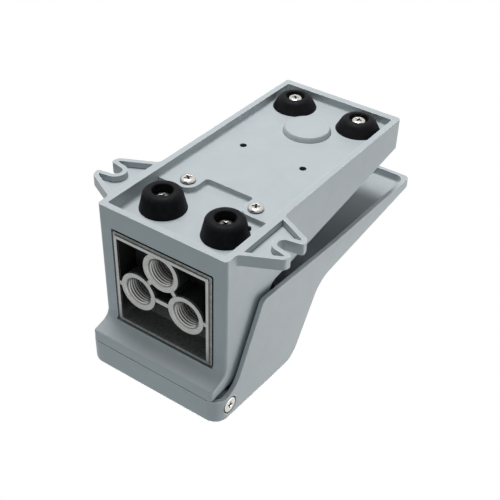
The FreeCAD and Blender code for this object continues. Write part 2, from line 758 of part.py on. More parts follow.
def seal_groove(height, inner, outer):
    """Square groove for an O-ring, from its inner to its outer radius."""
    half = SEAL_GROOVE_WIDTH / 2
    return turned(rectangle(inner, outer, height - half, height + half, 0), 0, -SPOOL_AXIS_Y)


def o_ring(height, inner):
    """O-ring whose inside rests in a groove of the given radius."""
    return Part.makeTorus(inner + SEAL_RADIUS, SEAL_RADIUS, Vector(0, -SPOOL_AXIS_Y, height))


def bottom_cap():
    """Plug that closes the bore below the spool."""
    corners = [
        (0, CAP_LOW_Z, 0),
        (BORE_RADIUS, CAP_LOW_Z, CAP_ROUND),
        (BORE_RADIUS, CAP_TOP_Z, CAP_ROUND),
        (0, CAP_TOP_Z, 0),
    ]
    cap = turned(corners, 0, -SPOOL_AXIS_Y)
    return cap.cut(seal_groove(CAP_SEAL_Z, moving_seal_inner(), BORE_RADIUS + OVERLAP))


def snap_ring():
    """Open spring ring that holds the cap."""
    low = CAP_LOW_Z - RING_THICKNESS
    outer = BORE_RADIUS + RING_DEPTH
    axis = -SPOOL_AXIS_Y
    half = RING_OPENING / 2
    ring = turned(rectangle(outer - RING_WIDTH, outer, low, CAP_LOW_Z, 0), 0, axis)
    gap = box(-half, half, axis - outer - OVERLAP, axis, low - OVERLAP, CAP_LOW_Z + OVERLAP)
    return ring.cut(gap)


def coil_spring(x, y, low, high, radius, wire, turns):
    """Compression spring with both ends ground flat."""
    rise = high - low
    pitch = rise / turns
    start = low - pitch / 4
    path = Part.makeHelix(pitch, rise + pitch / 2, radius)
    section = Part.Wire(Part.makeCircle(wire, Vector(radius, 0, 0), Vector(0, 1, 0)))
    coil = Part.Wire(path).makePipeShell([section], True, True)
    coil.translate(Vector(x, y, start))
    reach = radius + 2 * wire
    return coil.common(box(x - reach, x + reach, y - reach, y + reach, low, high))


def guide_bush():
    """Bush in the top of the bore that guides the plunger and stops the spool."""
    bore = PLUNGER_RADIUS + RUNNING_CLEARANCE
    corners = [
        (bore, SPOOL_TOP_Z, 0),
        (BUSH_LOW_RADIUS, SPOOL_TOP_Z, BUSH_LOW_ROUND),
        (BUSH_LOW_RADIUS, VALVE_TOP, 0),
        (BUSH_COLLAR_RADIUS, VALVE_TOP, 0),
        (BUSH_COLLAR_RADIUS, BUSH_COLLAR_TOP, BUSH_COLLAR_ROUND),
        (BUSH_NECK_RADIUS, BUSH_COLLAR_TOP, 0),
        (BUSH_NECK_RADIUS, BUSH_TOP, BUSH_NECK_ROUND),
        (WIPER_RADIUS, BUSH_TOP, 0),
        (WIPER_RADIUS, BUSH_TOP - WIPER_HEIGHT, 0),
        (bore, BUSH_TOP - WIPER_HEIGHT, 0),
    ]
    bush = turned(corners, 0, -SPOOL_AXIS_Y)
    return bush.cut(seal_groove(BUSH_SEAL_Z, BUSH_LOW_RADIUS - 2 * SEAL_RADIUS, BUSH_LOW_RADIUS + OVERLAP))


def plunger_wiper():
    """Rubber wiper ring in the top of the bush, with a small lip at the plunger."""
    bore = PLUNGER_RADIUS + RUNNING_CLEARANCE
    low = BUSH_TOP - WIPER_HEIGHT
    corners = [
        (bore, low, 0),
        (WIPER_RADIUS, low, 0),
        (WIPER_RADIUS, BUSH_TOP, WIPER_ROUND),
        (bore + WIPER_LIP_WIDTH, BUSH_TOP - WIPER_LIP_DROP, 0),
        (bore, BUSH_TOP, 0),
    ]
    return turned(corners, 0, -SPOOL_AXIS_Y)


def plunger():
    """Push rod with a domed head under the pedal."""
    rim = PLUNGER_DOME_RADIUS - math.sqrt(PLUNGER_DOME_RADIUS**2 - PLUNGER_HEAD_RADIUS**2)
    axis = Vector(0, -SPOOL_AXIS_Y, 0)
    shaft = post(PLUNGER_RADIUS, axis, SPOOL_TOP_Z, PLUNGER_HEAD_LOW + OVERLAP)
    head = post(PLUNGER_HEAD_RADIUS, axis, PLUNGER_HEAD_LOW, PLUNGER_TOP)
    ball = Part.makeSphere(PLUNGER_DOME_RADIUS, place_at(axis, PLUNGER_TOP - PLUNGER_DOME_RADIUS))
    dome = head.common(ball.fuse(post(PLUNGER_HEAD_RADIUS, axis, PLUNGER_HEAD_LOW, PLUNGER_TOP - rim)))
    return shaft.fuse(dome).removeSplitter()


def exhaust_silencer(height):
    """Sintered plug in one exhaust port of the valve body."""
    seat = -VALVE_LENGTH
    root = seat + EXHAUST_DEPTH - SILENCER_STEM_GAP
    tip = seat - SILENCER_HEAD_LENGTH
    stem = rod(EXHAUST_RADIUS, Vector(0, root, height), Vector(0, seat, height))
    head = rod(SILENCER_HEAD_RADIUS, Vector(0, seat, height), Vector(0, tip, height))
    rim = edges_where(head, lambda e, m: m.y < tip + TINY and len(e.Vertexes) == 1)
    return stem.fuse(head.makeFillet(SILENCER_HEAD_ROUND, rim)).removeSplitter()


def pedal_top(y):
    """Height of the heel's top surface."""
    return HEEL_TOP + HEEL_RISE_PER_MM * (FLANGE_REACH - y)


def pedal_outline():
    """Side view of the pedal: heel, steep front, tread, and the edge of its side plates."""
    rear = FLANGE_REACH
    low_rear = FLANGE_TOP + PLATE_REAR_GAP
    return [
        (rear, low_rear, 0),
        (rear, pedal_top(rear), 0),
        (-FRONT_TOP_Y, pedal_top(-FRONT_TOP_Y), HEEL_ROUND),
        (-FRONT_FOOT_Y, FRONT_FOOT_Z, FOOT_ROUND),
        (-PEDAL_TOE, TOE_TOP, 0),
        (-PEDAL_TOE, PLATE_TOE_Z, 0),
        (-PEDAL_TOE / 2, PLATE_BOW_Z, PLATE_BOW_RADIUS),
        (-PLATE_CORNER_Y, PLATE_CORNER_Z, PLATE_CORNER_RADIUS),
        (-PLATE_NECK_Y, low_rear, PLATE_NECK_RADIUS),
    ]


def pedal_hollow():
    """Side view of the room inside the pedal, open below."""
    wall = PEDAL_WALL
    rear = FLANGE_REACH - wall
    top_rear = pedal_top(rear) - wall
    slope_front = (pedal_top(-FRONT_TOP_Y) - FRONT_FOOT_Z) / (FRONT_FOOT_Y - FRONT_TOP_Y)
    slope_toe = (FRONT_FOOT_Z - TOE_TOP) / (PEDAL_TOE - FRONT_FOOT_Y)
    top_front = offset_corner(
        (-FRONT_TOP_Y, pedal_top(-FRONT_TOP_Y)), -HEEL_RISE_PER_MM, slope_front, wall
    )
    foot = offset_corner((-FRONT_FOOT_Y, FRONT_FOOT_Z), slope_front, slope_toe, wall)
    toe = -PEDAL_TOE + wall
    toe_z = foot[1] - slope_toe * (foot[0] - toe)
    return [
        (rear, 0, 0),
        (rear, top_rear, PEDAL_INNER_ROUND_REAR),
        (top_front[0], top_front[1], HEEL_ROUND - wall),
        (foot[0], foot[1], FOOT_ROUND + wall),
        (toe, toe_z, PEDAL_INNER_ROUND_TOE),
        (toe, 0, 0),
    ]


def offset_corner(corner, slope_a, slope_b, wall):
    """Corner of two sloping lines (z rises by slope per y), both moved down by a wall."""
    drop_a = wall * math.sqrt(1 + slope_a**2)
    drop_b = wall * math.sqrt(1 + slope_b**2)
    y = (drop_a - drop_b) / (slope_a - slope_b)
    return corner[0] + y, corner[1] + slope_a * y - drop_a


def tread_height(y):
    """Height of the tread's top surface in front of the steep part."""
    slope = (FRONT_FOOT_Z - TOE_TOP) / (PEDAL_TOE - FRONT_FOOT_Y)
    return FRONT_FOOT_Z + slope * (y + FRONT_FOOT_Y)


def tread_ribs():
    """Low anti-slip ribs across the tread, as many as its length takes."""
    ribs = []
    room = PEDAL_TOE - TREAD_RIB_END_INSET - TREAD_RIB_START_Y
    for index in range(int(room / TREAD_RIB_PITCH) + 1):
        y = -TREAD_RIB_START_Y - index * TREAD_RIB_PITCH
        half = TREAD_RIB_WIDTH / 2
        low = tread_height(y) - OVERLAP
        high = tread_height(y) + TREAD_RIB_HEIGHT
        corners = [
            (y - half, low, 0),
            (y - half, high, TREAD_RIB_ROUND),
            (y + half, high, TREAD_RIB_ROUND),
            (y + half, low, 0),
        ]
        ribs.append(side_prism(corners, TREAD_RIB_HALF_LENGTH))
    return ribs


def pedal():
    """Cast treadle pedal: a thin shell with side plates that reach down over the block."""
    shell = side_prism(pedal_outline(), PEDAL_HALF_WIDTH)
    rear = edges_where(shell, lambda e, m: is_upright(e) and m.y > FLANGE_REACH - TINY)
    shell = shell.makeFillet(PEDAL_REAR_CORNER, rear)
    toe = edges_where(shell, lambda e, m: is_upright(e) and m.y < -PEDAL_TOE + TINY)
    shell = shell.makeFillet(PEDAL_TOE_CORNER, toe)
    top = edges_where(shell, lambda e, m: is_top_rim(m))
    shell = shell.makeFillet(PEDAL_EDGE_RADIUS, top)
    hollow = side_prism(pedal_hollow(), PEDAL_INNER)
    corners = edges_where(hollow, lambda e, m: is_upright(e) and m.y > 0)
    hollow = hollow.makeFillet(PEDAL_REAR_CORNER - PEDAL_WALL, corners)
    body = shell.cut(hollow)
    boss = hinge_rod(PEDAL_BOSS_RADIUS, BOSS_INNER, PEDAL_INNER + OVERLAP)
    boss = boss.common(hollow.fuse(shell))
    axis = Vector(0, -SPOOL_AXIS_Y, 0)
    striker_top = pedal_top(-SPOOL_AXIS_Y) - OVERLAP
    striker = post(STRIKER_RADIUS, axis, PLUNGER_TOP + PLUNGER_GAP, striker_top)
    seat_low = spring_top() + SPRING_GAP
    seat_at = Vector(0, -CUP_Y, 0)
    seat = post(SPRING_SEAT_RADIUS, seat_at, seat_low, tread_height(-CUP_Y) - OVERLAP)
    spigot = post(SPRING_SPIGOT_RADIUS, seat_at, seat_low - SPRING_SPIGOT_LENGTH, seat_low)
    body = body.multiFuse([boss, mirrored(boss), striker, seat, spigot] + tread_ribs())
    outside = PEDAL_HALF_WIDTH + OVERLAP
    bearing = hinge_rod(PIVOT_RADIUS + RUNNING_CLEARANCE, BOSS_INNER - OVERLAP, outside)
    bore = hinge_rod(COUNTERBORE_RADIUS, PEDAL_HALF_WIDTH - COUNTERBORE_DEPTH, outside)
    for cut in (bearing, mirrored(bearing), bore, mirrored(bore)):
        body = body.cut(cut)
    return body.removeSplitter()


def hinge_rod(radius, start, end):
    """Round rod on the hinge line, from one x to another."""
    return rod(radius, Vector(start, HINGE_Y, HINGE_Z), Vector(end, HINGE_Y, HINGE_Z))


def is_top_rim(point):
    """True for a point on the rim of the pedal's top surface, heel to toe."""
    if point.y < -FRONT_FOOT_Y:
        top = tread_height(point.y)
    elif point.y > -FRONT_TOP_Y:
        top = pedal_top(point.y)
    else:
        share = (point.y + FRONT_FOOT_Y) / (FRONT_FOOT_Y - FRONT_TOP_Y)
        top = FRONT_FOOT_Z + share * (pedal_top(-FRONT_TOP_Y) - FRONT_FOOT_Z)
    return abs(point.z - top) < TOP_RIM_BAND and on_outer_rim(point)


def on_outer_rim(point):
    """True at the outer sides and ends, also on their rounded corners."""
    near_side = abs(abs(point.x) - PEDAL_HALF_WIDTH) < PEDAL_REAR_CORNER / 2
    near_rear = abs(point.y - FLANGE_REACH) < PEDAL_REAR_CORNER / 2
    near_toe = abs(point.y + PEDAL_TOE) < PEDAL_TOE_CORNER / 2
    low = point.z < (PLATE_TOE_Z + TOE_TOP) / 2
    return (near_side or near_rear or near_toe) and not low


def spring_top():
    """Upper end of the return spring, just under the pedal's seat."""
    return tread_height(-CUP_Y) - PEDAL_WALL - SPRING_SEAT_DROP


def pivot_screw():
    """Shoulder screw that carries one side of the pedal."""
    seat = PEDAL_HALF_WIDTH - COUNTERBORE_DEPTH + RUNNING_CLEARANCE
    face = seat + PIVOT_HEAD_HEIGHT
    head = hinge_rod(PIVOT_HEAD_RADIUS, seat, face)
    rim = edges_where(head, lambda e, m: m.x > face - TINY and len(e.Vertexes) == 1)
    head = head.makeFillet(PIVOT_HEAD_ROUND, rim)
    shoulder = hinge_rod(PIVOT_RADIUS, LUG_OUTER, seat)
    thread = hinge_rod(PIVOT_THREAD_RADIUS, LUG_OUTER - PIVOT_SCREW_REACH, LUG_OUTER)
    recess = cross_recess()
    recess.rotate(Vector(0, 0, 0), Vector(0, 1, 0), -90)
    recess.translate(Vector(face, HINGE_Y, HINGE_Z))
    return head.fuse(shoulder).fuse(thread).cut(recess).removeSplitter()


def rubber_foot(x, y, top, base_radius, tip_radius, seat):
    """Rubber buffer with a deep hole for its screw."""
    tip = -FOOT_PROUD
    seat_z = top - seat
    corners = [
        (FOOT_HOLE_RADIUS, tip, FOOT_HOLE_ROUND),
        (tip_radius, tip, FOOT_TIP_ROUND),
        (base_radius, top, 0),
        (SCREW_RADIUS, top, 0),
        (SCREW_RADIUS, seat_z, 0),
        (FOOT_HOLE_RADIUS, seat_z, 0),
    ]
    return turned(corners, x, y)


def foot_washer(x, y, top, seat):
    """Flat washer between a foot screw's head and the rubber."""
    high = top - seat
    ring = rectangle(SCREW_RADIUS, WASHER_RADIUS, high - WASHER_THICKNESS, high, 0)
    return turned(ring, x, y)


def foot_screw(x, y, top, seat, grip):
    """Screw of one foot, seated on its washer."""
    low = top - seat - WASHER_THICKNESS
    screw = pan_screw(FOOT_SCREW_HEAD_RADIUS, FOOT_SCREW_HEAD_HEIGHT, SCREW_RADIUS, top + grip - low)
    screw.translate(Vector(x, y, low))
    return screw


def body_screw(x):
    """Screw that holds the valve body down on the floor."""
    length = VALVE_LOW + BODY_SCREW_GRIP - RECESS_TOE
    screw = pan_screw(BODY_SCREW_HEAD_RADIUS, BODY_SCREW_HEAD_HEIGHT, SCREW_RADIUS, length)
    screw.translate(Vector(x, -BODY_SCREW_Y, RECESS_TOE))
    return screw


def save_pair(name, right):
    """Save one piece together with its mirror image on the other side."""
    save(name, Part.makeCompound([mirrored(right), right]))


def save_feet():
    """Rubber feet, their washers and screws."""
    rear = (REAR_FOOT_X, -REAR_FOOT_Y, RECESS_REAR)
    toe = (TOE_FOOT_X, -TOE_FOOT_Y, RECESS_TOE)
    rear_foot = rubber_foot(*rear, REAR_FOOT_BASE_RADIUS, REAR_FOOT_TIP_RADIUS, FOOT_SEAT_REAR)
    toe_foot = rubber_foot(*toe, TOE_FOOT_BASE_RADIUS, TOE_FOOT_TIP_RADIUS, FOOT_SEAT_TOE)
    save_pair("rear_rubber_feet", rear_foot)
    save_pair("toe_rubber_feet", toe_foot)
    rear_washer = foot_washer(*rear, FOOT_SEAT_REAR)
    toe_washer = foot_washer(*toe, FOOT_SEAT_TOE)
    save_pair("foot_washers", Part.makeCompound([rear_washer, toe_washer]))
    rear_grip = FLOOR_THICKNESS + PAD_HEIGHT - REAR_FOOT_SCREW_SHORT
    toe_grip = FLOOR_THICKNESS + TOE_BOSS_HEIGHT - TOE_FOOT_SCREW_SHORT
    rear_screw = foot_screw(*rear, FOOT_SEAT_REAR, rear_grip)
    toe_screw = foot_screw(*toe, FOOT_SEAT_TOE, toe_grip)
    save_pair("foot_screws", Part.makeCompound([rear_screw, toe_screw]))


def save_valve():
    """Valve body and everything in it."""
    save("valve_body", valve_body())
    save("spool", spool())
    inner = moving_seal_inner()
    save("spool_seals", Part.makeCompound([o_ring(height, inner) for height in seal_heights()]))
    save("bottom_cap", bottom_cap())
    save("bottom_cap_seal", o_ring(CAP_SEAL_Z, inner))
    save("snap_ring", snap_ring())
    spring = coil_spring(
        0, -SPOOL_AXIS_Y, CAP_TOP_Z, SPRING_BORE_TOP,
        SPOOL_SPRING_RADIUS, SPOOL_SPRING_WIRE, SPOOL_SPRING_TURNS,
    )
    save("spool_return_spring", spring)
    save("guide_bush", guide_bush())
    save("guide_bush_seal", o_ring(BUSH_SEAL_Z, BUSH_LOW_RADIUS - 2 * SEAL_RADIUS))
    save("plunger_wiper", plunger_wiper())
    save("plunger", plunger())
    silencers = [exhaust_silencer(groove_height(index)) for index in EXHAUST_GROOVES]
    save("exhaust_silencers", Part.makeCompound(silencers))


def main():
    os.makedirs("parts", exist_ok=True)
    save("base_housing", base_housing())
    save_valve()
    save("pedal", pedal())
    save_pair("pivot_screws", pivot_screw())
    spring = coil_spring(
        0, -CUP_Y, RECESS_TOE - CUP_DROP + CUP_FLOOR, spring_top(),
        PEDAL_SPRING_RADIUS, PEDAL_SPRING_WIRE, PEDAL_SPRING_TURNS,
    )
    save("pedal_return_spring", spring)
    save_feet()
    save_pair("body_screws", body_screw(BODY_SCREW_X))


main()
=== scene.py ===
import math

import bmesh
import bpy
from bpy.props import (
    FloatProperty,
    FloatVectorProperty,
    IntProperty,
    PointerProperty,
)
from mathutils import Matrix, Vector


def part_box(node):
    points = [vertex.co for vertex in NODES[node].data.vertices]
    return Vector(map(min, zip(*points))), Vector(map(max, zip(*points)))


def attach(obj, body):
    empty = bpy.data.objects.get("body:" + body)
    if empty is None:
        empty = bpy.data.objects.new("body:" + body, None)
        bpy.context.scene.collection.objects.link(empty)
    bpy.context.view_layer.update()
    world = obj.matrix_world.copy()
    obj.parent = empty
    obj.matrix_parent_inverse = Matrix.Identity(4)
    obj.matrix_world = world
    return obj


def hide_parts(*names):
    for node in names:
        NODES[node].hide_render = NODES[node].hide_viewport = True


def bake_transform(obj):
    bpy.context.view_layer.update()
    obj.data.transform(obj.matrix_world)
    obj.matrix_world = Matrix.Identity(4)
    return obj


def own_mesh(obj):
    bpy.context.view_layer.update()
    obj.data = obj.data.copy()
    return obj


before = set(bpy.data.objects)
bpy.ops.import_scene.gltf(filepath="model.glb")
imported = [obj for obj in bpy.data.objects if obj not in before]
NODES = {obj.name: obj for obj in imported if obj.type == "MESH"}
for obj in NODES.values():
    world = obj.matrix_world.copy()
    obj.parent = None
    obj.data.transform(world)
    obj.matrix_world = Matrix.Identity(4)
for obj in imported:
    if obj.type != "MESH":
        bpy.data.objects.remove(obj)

bl_info = {
    "name": "Foot Valve Dresser",
    "version": (1, 0, 0),
    "blender": (4, 5, 0),
    "location": "3D View > Sidebar > Foot Valve",
    "description": "Dresses a foot pedal air valve with its detailed pieces and finishes",
    "category": "Add Mesh",
}

MM = 0.001
FULL_TURN = 2 * math.pi

# Where pieces stand in the frame. Those with an x have a twin on the other side.
REAR_FOOT = (16.25 * MM, 51.75 * MM)
TOE_FOOT = (18.15 * MM, -52.85 * MM)
BODY_SCREW = (18.0 * MM, 32.75 * MM, 6.0 * MM)
PIVOT_SCREW = (35.05 * MM, 74.25 * MM, 77.0 * MM)
TAPPED_HOLE = (16.4 * MM, -6.25 * MM)
SPRING_CUP_Y = -35.65 * MM
SPOOL_Y = 49.35 * MM
SUPPLY_PORT_Z = 22.7 * MM
OUTLET_PORT_X = 12.7 * MM
OUTLET_PORT_Z = 38.9 * MM

# Material slots of a soft-edged casting: its faces, its outer edges with a painted highlight and its inner
# corners with a painted shade.
PLAIN, OUTER, INNER = range(3)


def length(name, description, default):
    """A size in metres that the user can change."""
    return FloatProperty(name=name, description=description, default=default, unit="LENGTH", precision=5)


def colour(name, description, default):
    """A linear colour that the user can change."""
    return FloatVectorProperty(
        name=name, description=description, default=default, size=3, min=0.0, max=1.0, subtype="COLOR",
    )


def share(name, description, default):
    """A plain share from 0 to 1."""
    return FloatProperty(
        name=name, description=description, default=default, min=0.0, max=1.0, subtype="FACTOR",
    )


def place(name, description, default):
    """A place in the frame that the user can change."""
    return FloatVectorProperty(
        name=name, description=description, default=default, size=3, subtype="TRANSLATION", unit="LENGTH",
        precision=5,
    )


def power(name, description, default):
    """A lamp's power in watts."""
    return FloatProperty(name=name, description=description, default=default, min=0.0, unit="POWER")


class CastingSettings(bpy.types.PropertyGroup):
    paint: colour("Paint", "Grey paint of the base and the pedal", (0.472, 0.514, 0.536))
    # Paler paint for the outer soft edges: a painted highlight.
    worn: colour("Painted edge highlight", "Painted highlight on the outer edges", (0.66, 0.70, 0.72))
    # Near-black paint for the inner soft corners: a painted shade.
    corner_shade: colour("Painted corner shade", "Painted shade in the inner corners", (0.12, 0.14, 0.15))
    paint_roughness: share("Paint roughness", "How dull the paint is", 0.38)
    raw: colour("Raw casting", "Bare die casting of the valve body", (0.30, 0.31, 0.30))
    # Near-black colour of the pockets and of the rim's step: a painted shade.
    pocket_shade: colour("Painted pocket shade", "Painted pocket shade inside the pockets of the valve body", (0.035, 0.035, 0.038))
    machined: colour("Machined face", "Milled faces of the valve body", (0.42, 0.42, 0.41))
    milled_depth: length("Milled depth", "Depth under the port face down to which it is milled", 0.4 * MM)
    rim_depth: length("Rim depth", "Depth of the low rim round the port face", 0.9 * MM)
    edge: length("Painted edge", "Width of the soft edge under the paint", 0.18 * MM)
    boss_spread: FloatProperty(
        name="Boss spread",
        description="How much wider the tip of the round boss gets",
        default=1.035,
        min=1.0,
    )
    pedal_edge: length("Pedal edge", "Width of the soft edge under the pedal's paint", 0.4 * MM)
    raw_edge: length("Raw edge", "Width of the soft edge of the raw casting", 0.12 * MM)


class ThreadSettings(bpy.types.PropertyGroup):
    pitch: length("Pitch", "Distance from one thread crest to the next", 1.337 * MM)
    crest: length("Crest radius", "Radius of the thread's inner crest", 5.75 * MM)
    crest_round: length("Crest round", "Width of the thread's rounded crest", 0.12 * MM)
    bore: length("Bore radius", "Radius of the port's wall", 6.58 * MM)
    start: length("Start", "Depth of the first turn under the port face", 0.75 * MM)
    turns: IntProperty(name="Turns", description="Number of thread turns", default=7, min=1)
    metal: colour("Thread metal", "Cut metal of the threads near their mouth", (0.42, 0.42, 0.41))
    # Near-black colour at the bottom of the ports: a painted shade.
    deep: colour("Deep shade", "Painted shade at the bottom of the threads", (0.015, 0.015, 0.015))
    groove: colour("Thread groove", "Shaded metal at the root of the threads", (0.17, 0.17, 0.17))
    deepest_shade_depth: length("Dark depth", "Depth at which the threads are darkest", 8.0 * MM)


class FootSettings(bpy.types.PropertyGroup):
    rubber: colour("Rubber", "Black rubber of the feet", (0.006, 0.006, 0.007))
    shoulder: length("Shoulder", "Radius of the round edge at a foot's tip", 1.9 * MM)
    hole: length("Screw hole", "Radius of the deep hole round the screw", 4.6 * MM)
    tag: length("Moulding tag", "Radius of the small moulding tag on one rear foot", 1.1 * MM)
    hole_edge: length("Hole edge", "Radius of the round rim of the hole", 0.6 * MM)


class ScrewSettings(bpy.types.PropertyGroup):
    plating: colour("Plating", "Nickel plating", (0.61, 0.595, 0.56))
    # Darker copy of the plating for the screws deep in the rear feet: a painted shade.
    dull: colour("Shaded plating", "Plating with painted shade, for the screws deep in the rear feet", (0.22, 0.22, 0.215))
    # Painted shade in the cross recess and on the straight side band of a head next to its seat.
    recess: colour("Recess", "Shaded metal in the cross recess", (0.05, 0.05, 0.05))
    foot_head: length("Foot screw head", "Radius of a foot screw's head", 3.7 * MM)
    body_head: length("Body screw head", "Radius of a body screw's head", 3.5 * MM)
    pivot_head: length("Pivot screw head", "Radius of a pivot screw's head", 3.6 * MM)
    cross: length("Cross length", "Length of the cross recess in a head", 5.0 * MM)
    cross_width: length("Cross width", "Width of the cross recess's arms", 1.15 * MM)
    cross_depth: length("Cross depth", "Greatest depth of the cross recess", 1.3 * MM)
    shank: length("Shank", "Radius of a screw's shank", 2.0 * MM)
    tip: length("Tip", "Width of the chamfer at a shank's tip", 0.3 * MM)
    worn: length("Worn edge", "Width of a screw's rounded edges", 0.08 * MM)


class SpringSettings(bpy.types.PropertyGroup):
    steel: colour("Spring steel", "Steel wire of the springs", (0.42, 0.42, 0.43))
    pedal_coil: length("Pedal coil", "Radius of the pedal spring's coil", 7.6 * MM)
    pedal_wire: length("Pedal wire", "Radius of the pedal spring's wire", 0.85 * MM)
    spool_coil: length("Spool coil", "Radius of the spool spring's coil", 2.6 * MM)
    spool_wire: length("Spool wire", "Radius of the spool spring's wire", 0.4 * MM)
    turns: IntProperty(name="Turns", description="Number of turns of each spring", default=8, min=3)


class InnerSettings(bpy.types.PropertyGroup):
    aluminium: colour("Aluminium", "Turned aluminium of the spool and its cap", (0.72, 0.73, 0.74))
    brass: colour("Brass", "Turned brass of the guide bush", (0.72, 0.52, 0.22))
    steel: colour("Steel", "Ground steel of the plunger and the snap ring", (0.56, 0.56, 0.57))
    nickel: colour("Washer plating", "Nickel plating of the washers", (0.74, 0.73, 0.70))
    seal: colour("Seal rubber", "Black rubber of the seals", (0.016, 0.016, 0.017))
    bronze: colour("Bronze", "Pressed bronze grains of the silencers", (0.46, 0.28, 0.12))


class StageSettings(bpy.types.PropertyGroup):
    floor: colour("Floor", "Pale floor under the object", (0.86, 0.86, 0.86))
    floor_size: length("Floor size", "Side of the square floor", 6.0)
    near: length("Near floor", "Distance within which the floor shows the object's shadow", 0.14)
    far: length("Far floor", "Distance from which the floor is plain white", 0.5)
    glow: share("Floor glow", "Light of its own that the floor near the object shows", 0.16)
    ambient: FloatProperty(name="Ambient", description="Even light from all round", default=0.21, min=0.0)
    shade: colour("Shade", "Faintly cool colour of the even light", (0.90, 0.99, 1.0))
    key: power("Key lamp", "Watts of the large soft lamp on the underside", 7.6)
    key_place: place("Key place", "Where the lamp on the underside stands", (-0.16, -0.12, -0.87))
    key_size: length("Key size", "Side of the square lamp on the underside", 0.4)
    side: power("Side lamp", "Watts of the soft lamp beside the object", 1.24)
    side_place: place("Side place", "Where the lamp beside the object stands", (0.46, -0.22, 0.26))
    side_size: length("Side size", "Side of the square lamp beside the object", 0.3)
    rear: power("Rear lamp", "Watts of the soft lamp on the ports", 1.12)
    rear_place: place("Rear place", "Where the lamp on the ports stands", (0.15, 0.85, 0.3))
    rear_size: length("Rear size", "Side of the square lamp on the ports", 0.5)
    rear_colour: colour("Rear colour", "Faintly cool colour of the lamp on the ports", (0.82, 0.96, 1.0))
    top: power("Top lamp", "Watts of the large soft lamp on the pedal", 6.0)
    top_place: place("Top place", "Where the lamp over the pedal stands", (-0.2, -0.3, 0.9))
    top_size: length("Top size", "Side of the square lamp over the pedal", 0.6)
    camera_place: place("Camera place", "Where the camera stands", (0.18779, 0.28625, -0.20682))
    camera_turn: FloatVectorProperty(
        name="Camera turn",
        description="Where the camera looks",
        default=(math.radians(-127.892), math.radians(2.722), math.radians(-33.691)),
        size=3,
        subtype="EULER",
        unit="ROTATION",
    )
    camera_lens: FloatProperty(
        name="Camera lens", description="Focal length in millimetres", default=63.9, unit="CAMERA",
    )
    camera_shift: FloatVectorProperty(
        name="Camera shift",
        description="How far the picture is shifted on the sensor, as shares of its width",
        default=(-0.0631, 0.0125),
        size=2,
    )


def alone(piece):
    """Makes a piece the only selected object and the active one."""
    bpy.ops.object.select_all(action="DESELECT")
    piece.select_set(True)
    bpy.context.view_layer.objects.active = piece


def edit(piece):
    """Enters edit mode on a piece with nothing selected, and hands back its mesh to select in."""
    alone(piece)
    bpy.ops.object.mode_set(mode="EDIT")
    bpy.ops.mesh.select_all(action="DESELECT")
    return bmesh.from_edit_mesh(piece.data)


def leave():
    """Goes back to object mode."""
    bpy.ops.object.mode_set(mode="OBJECT")


def pick_faces(piece, test):
    """Selects only the faces whose middle and normal pass a test, in edit mode."""
    bpy.ops.mesh.select_all(action="DESELECT")
    bpy.ops.mesh.select_mode(type="FACE")
    cage = bmesh.from_edit_mesh(piece.data)
    for face in cage.faces:
        face.select_set(test(face.calc_center_median(), face.normal))
    cage.select_flush_mode()
    bmesh.update_edit_mesh(piece.data)


def pick_edges(piece, test):
    """Selects only the edges both of whose ends pass a test, in edit mode."""
    bpy.ops.mesh.select_all(action="DESELECT")
    bpy.ops.mesh.select_mode(type="EDGE")
    cage = bmesh.from_edit_mesh(piece.data)
    for edge in cage.edges:
        edge.select_set(all(test(end.co) for end in edge.verts))
    cage.select_flush_mode()
    bmesh.update_edit_mesh(piece.data)


def radius_of(point):
    """How far a point lies from the z axis."""
    return math.hypot(point.x, point.y)


def near(value, wanted, slack=0.01 * MM):
    """Whether a value is the wanted one, give or take a slack."""
    return abs(value - wanted) < slack


def apply_modifier(piece, kind, label, **settings):
    """Adds a modifier with its settings and applies it."""
    alone(piece)
    modifier = piece.modifiers.new(label, kind)
    for key, value in settings.items():
        setattr(modifier, key, value)
    bpy.ops.object.modifier_apply(modifier=modifier.name)


def smooth(piece, degrees=35.0):
    """Smooth shading that keeps the edges sharper than an angle."""
    alone(piece)
    bpy.ops.object.shade_smooth_by_angle(angle=math.radians(degrees))


def settle(piece):
    """Puts a piece's place and turn into its mesh."""
    alone(piece)
    bpy.ops.object.transform_apply(location=True, rotation=True, scale=True)


def copied(piece, name):
    """A copy of a piece with a mesh of its own."""
    twin = piece.copy()
    twin.data = piece.data.copy()
    twin.name = name
    twin.data.name = name
    bpy.context.scene.collection.objects.link(twin)
    return twin


def joined(pieces, name):
    """Several pieces as one object."""
    bpy.ops.object.select_all(action="DESELECT")
    for piece in pieces:
        piece.select_set(True)
    bpy.context.view_layer.objects.active = pieces[0]
    bpy.ops.object.join()
    whole = bpy.context.view_layer.objects.active
    whole.name = name
    whole.data.name = name
    return whole


def tidy_normals(piece):
    """Merges doubles and points every face outwards."""
    doubles = 0.001 * MM
    edit(piece)
    bpy.ops.mesh.select_all(action="SELECT")
    bpy.ops.mesh.remove_doubles(threshold=doubles)
    bpy.ops.mesh.normals_make_consistent(inside=False)
    leave()


def finish_piece(piece, name, material, body, slot, *nodes):
    """Names a piece, gives it its finish and its body, and lets it stand for its CAD nodes."""
    piece.name = name
    piece.data.name = name
    if material:
        piece.data.materials.clear()
        piece.data.materials.append(material)
    if body:
        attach(piece, body)
    if nodes:
        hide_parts(*nodes)


def repaint(node, material):
    """Gives a CAD node its finish."""
    for slot in NODES[node].material_slots:
        slot.material = material


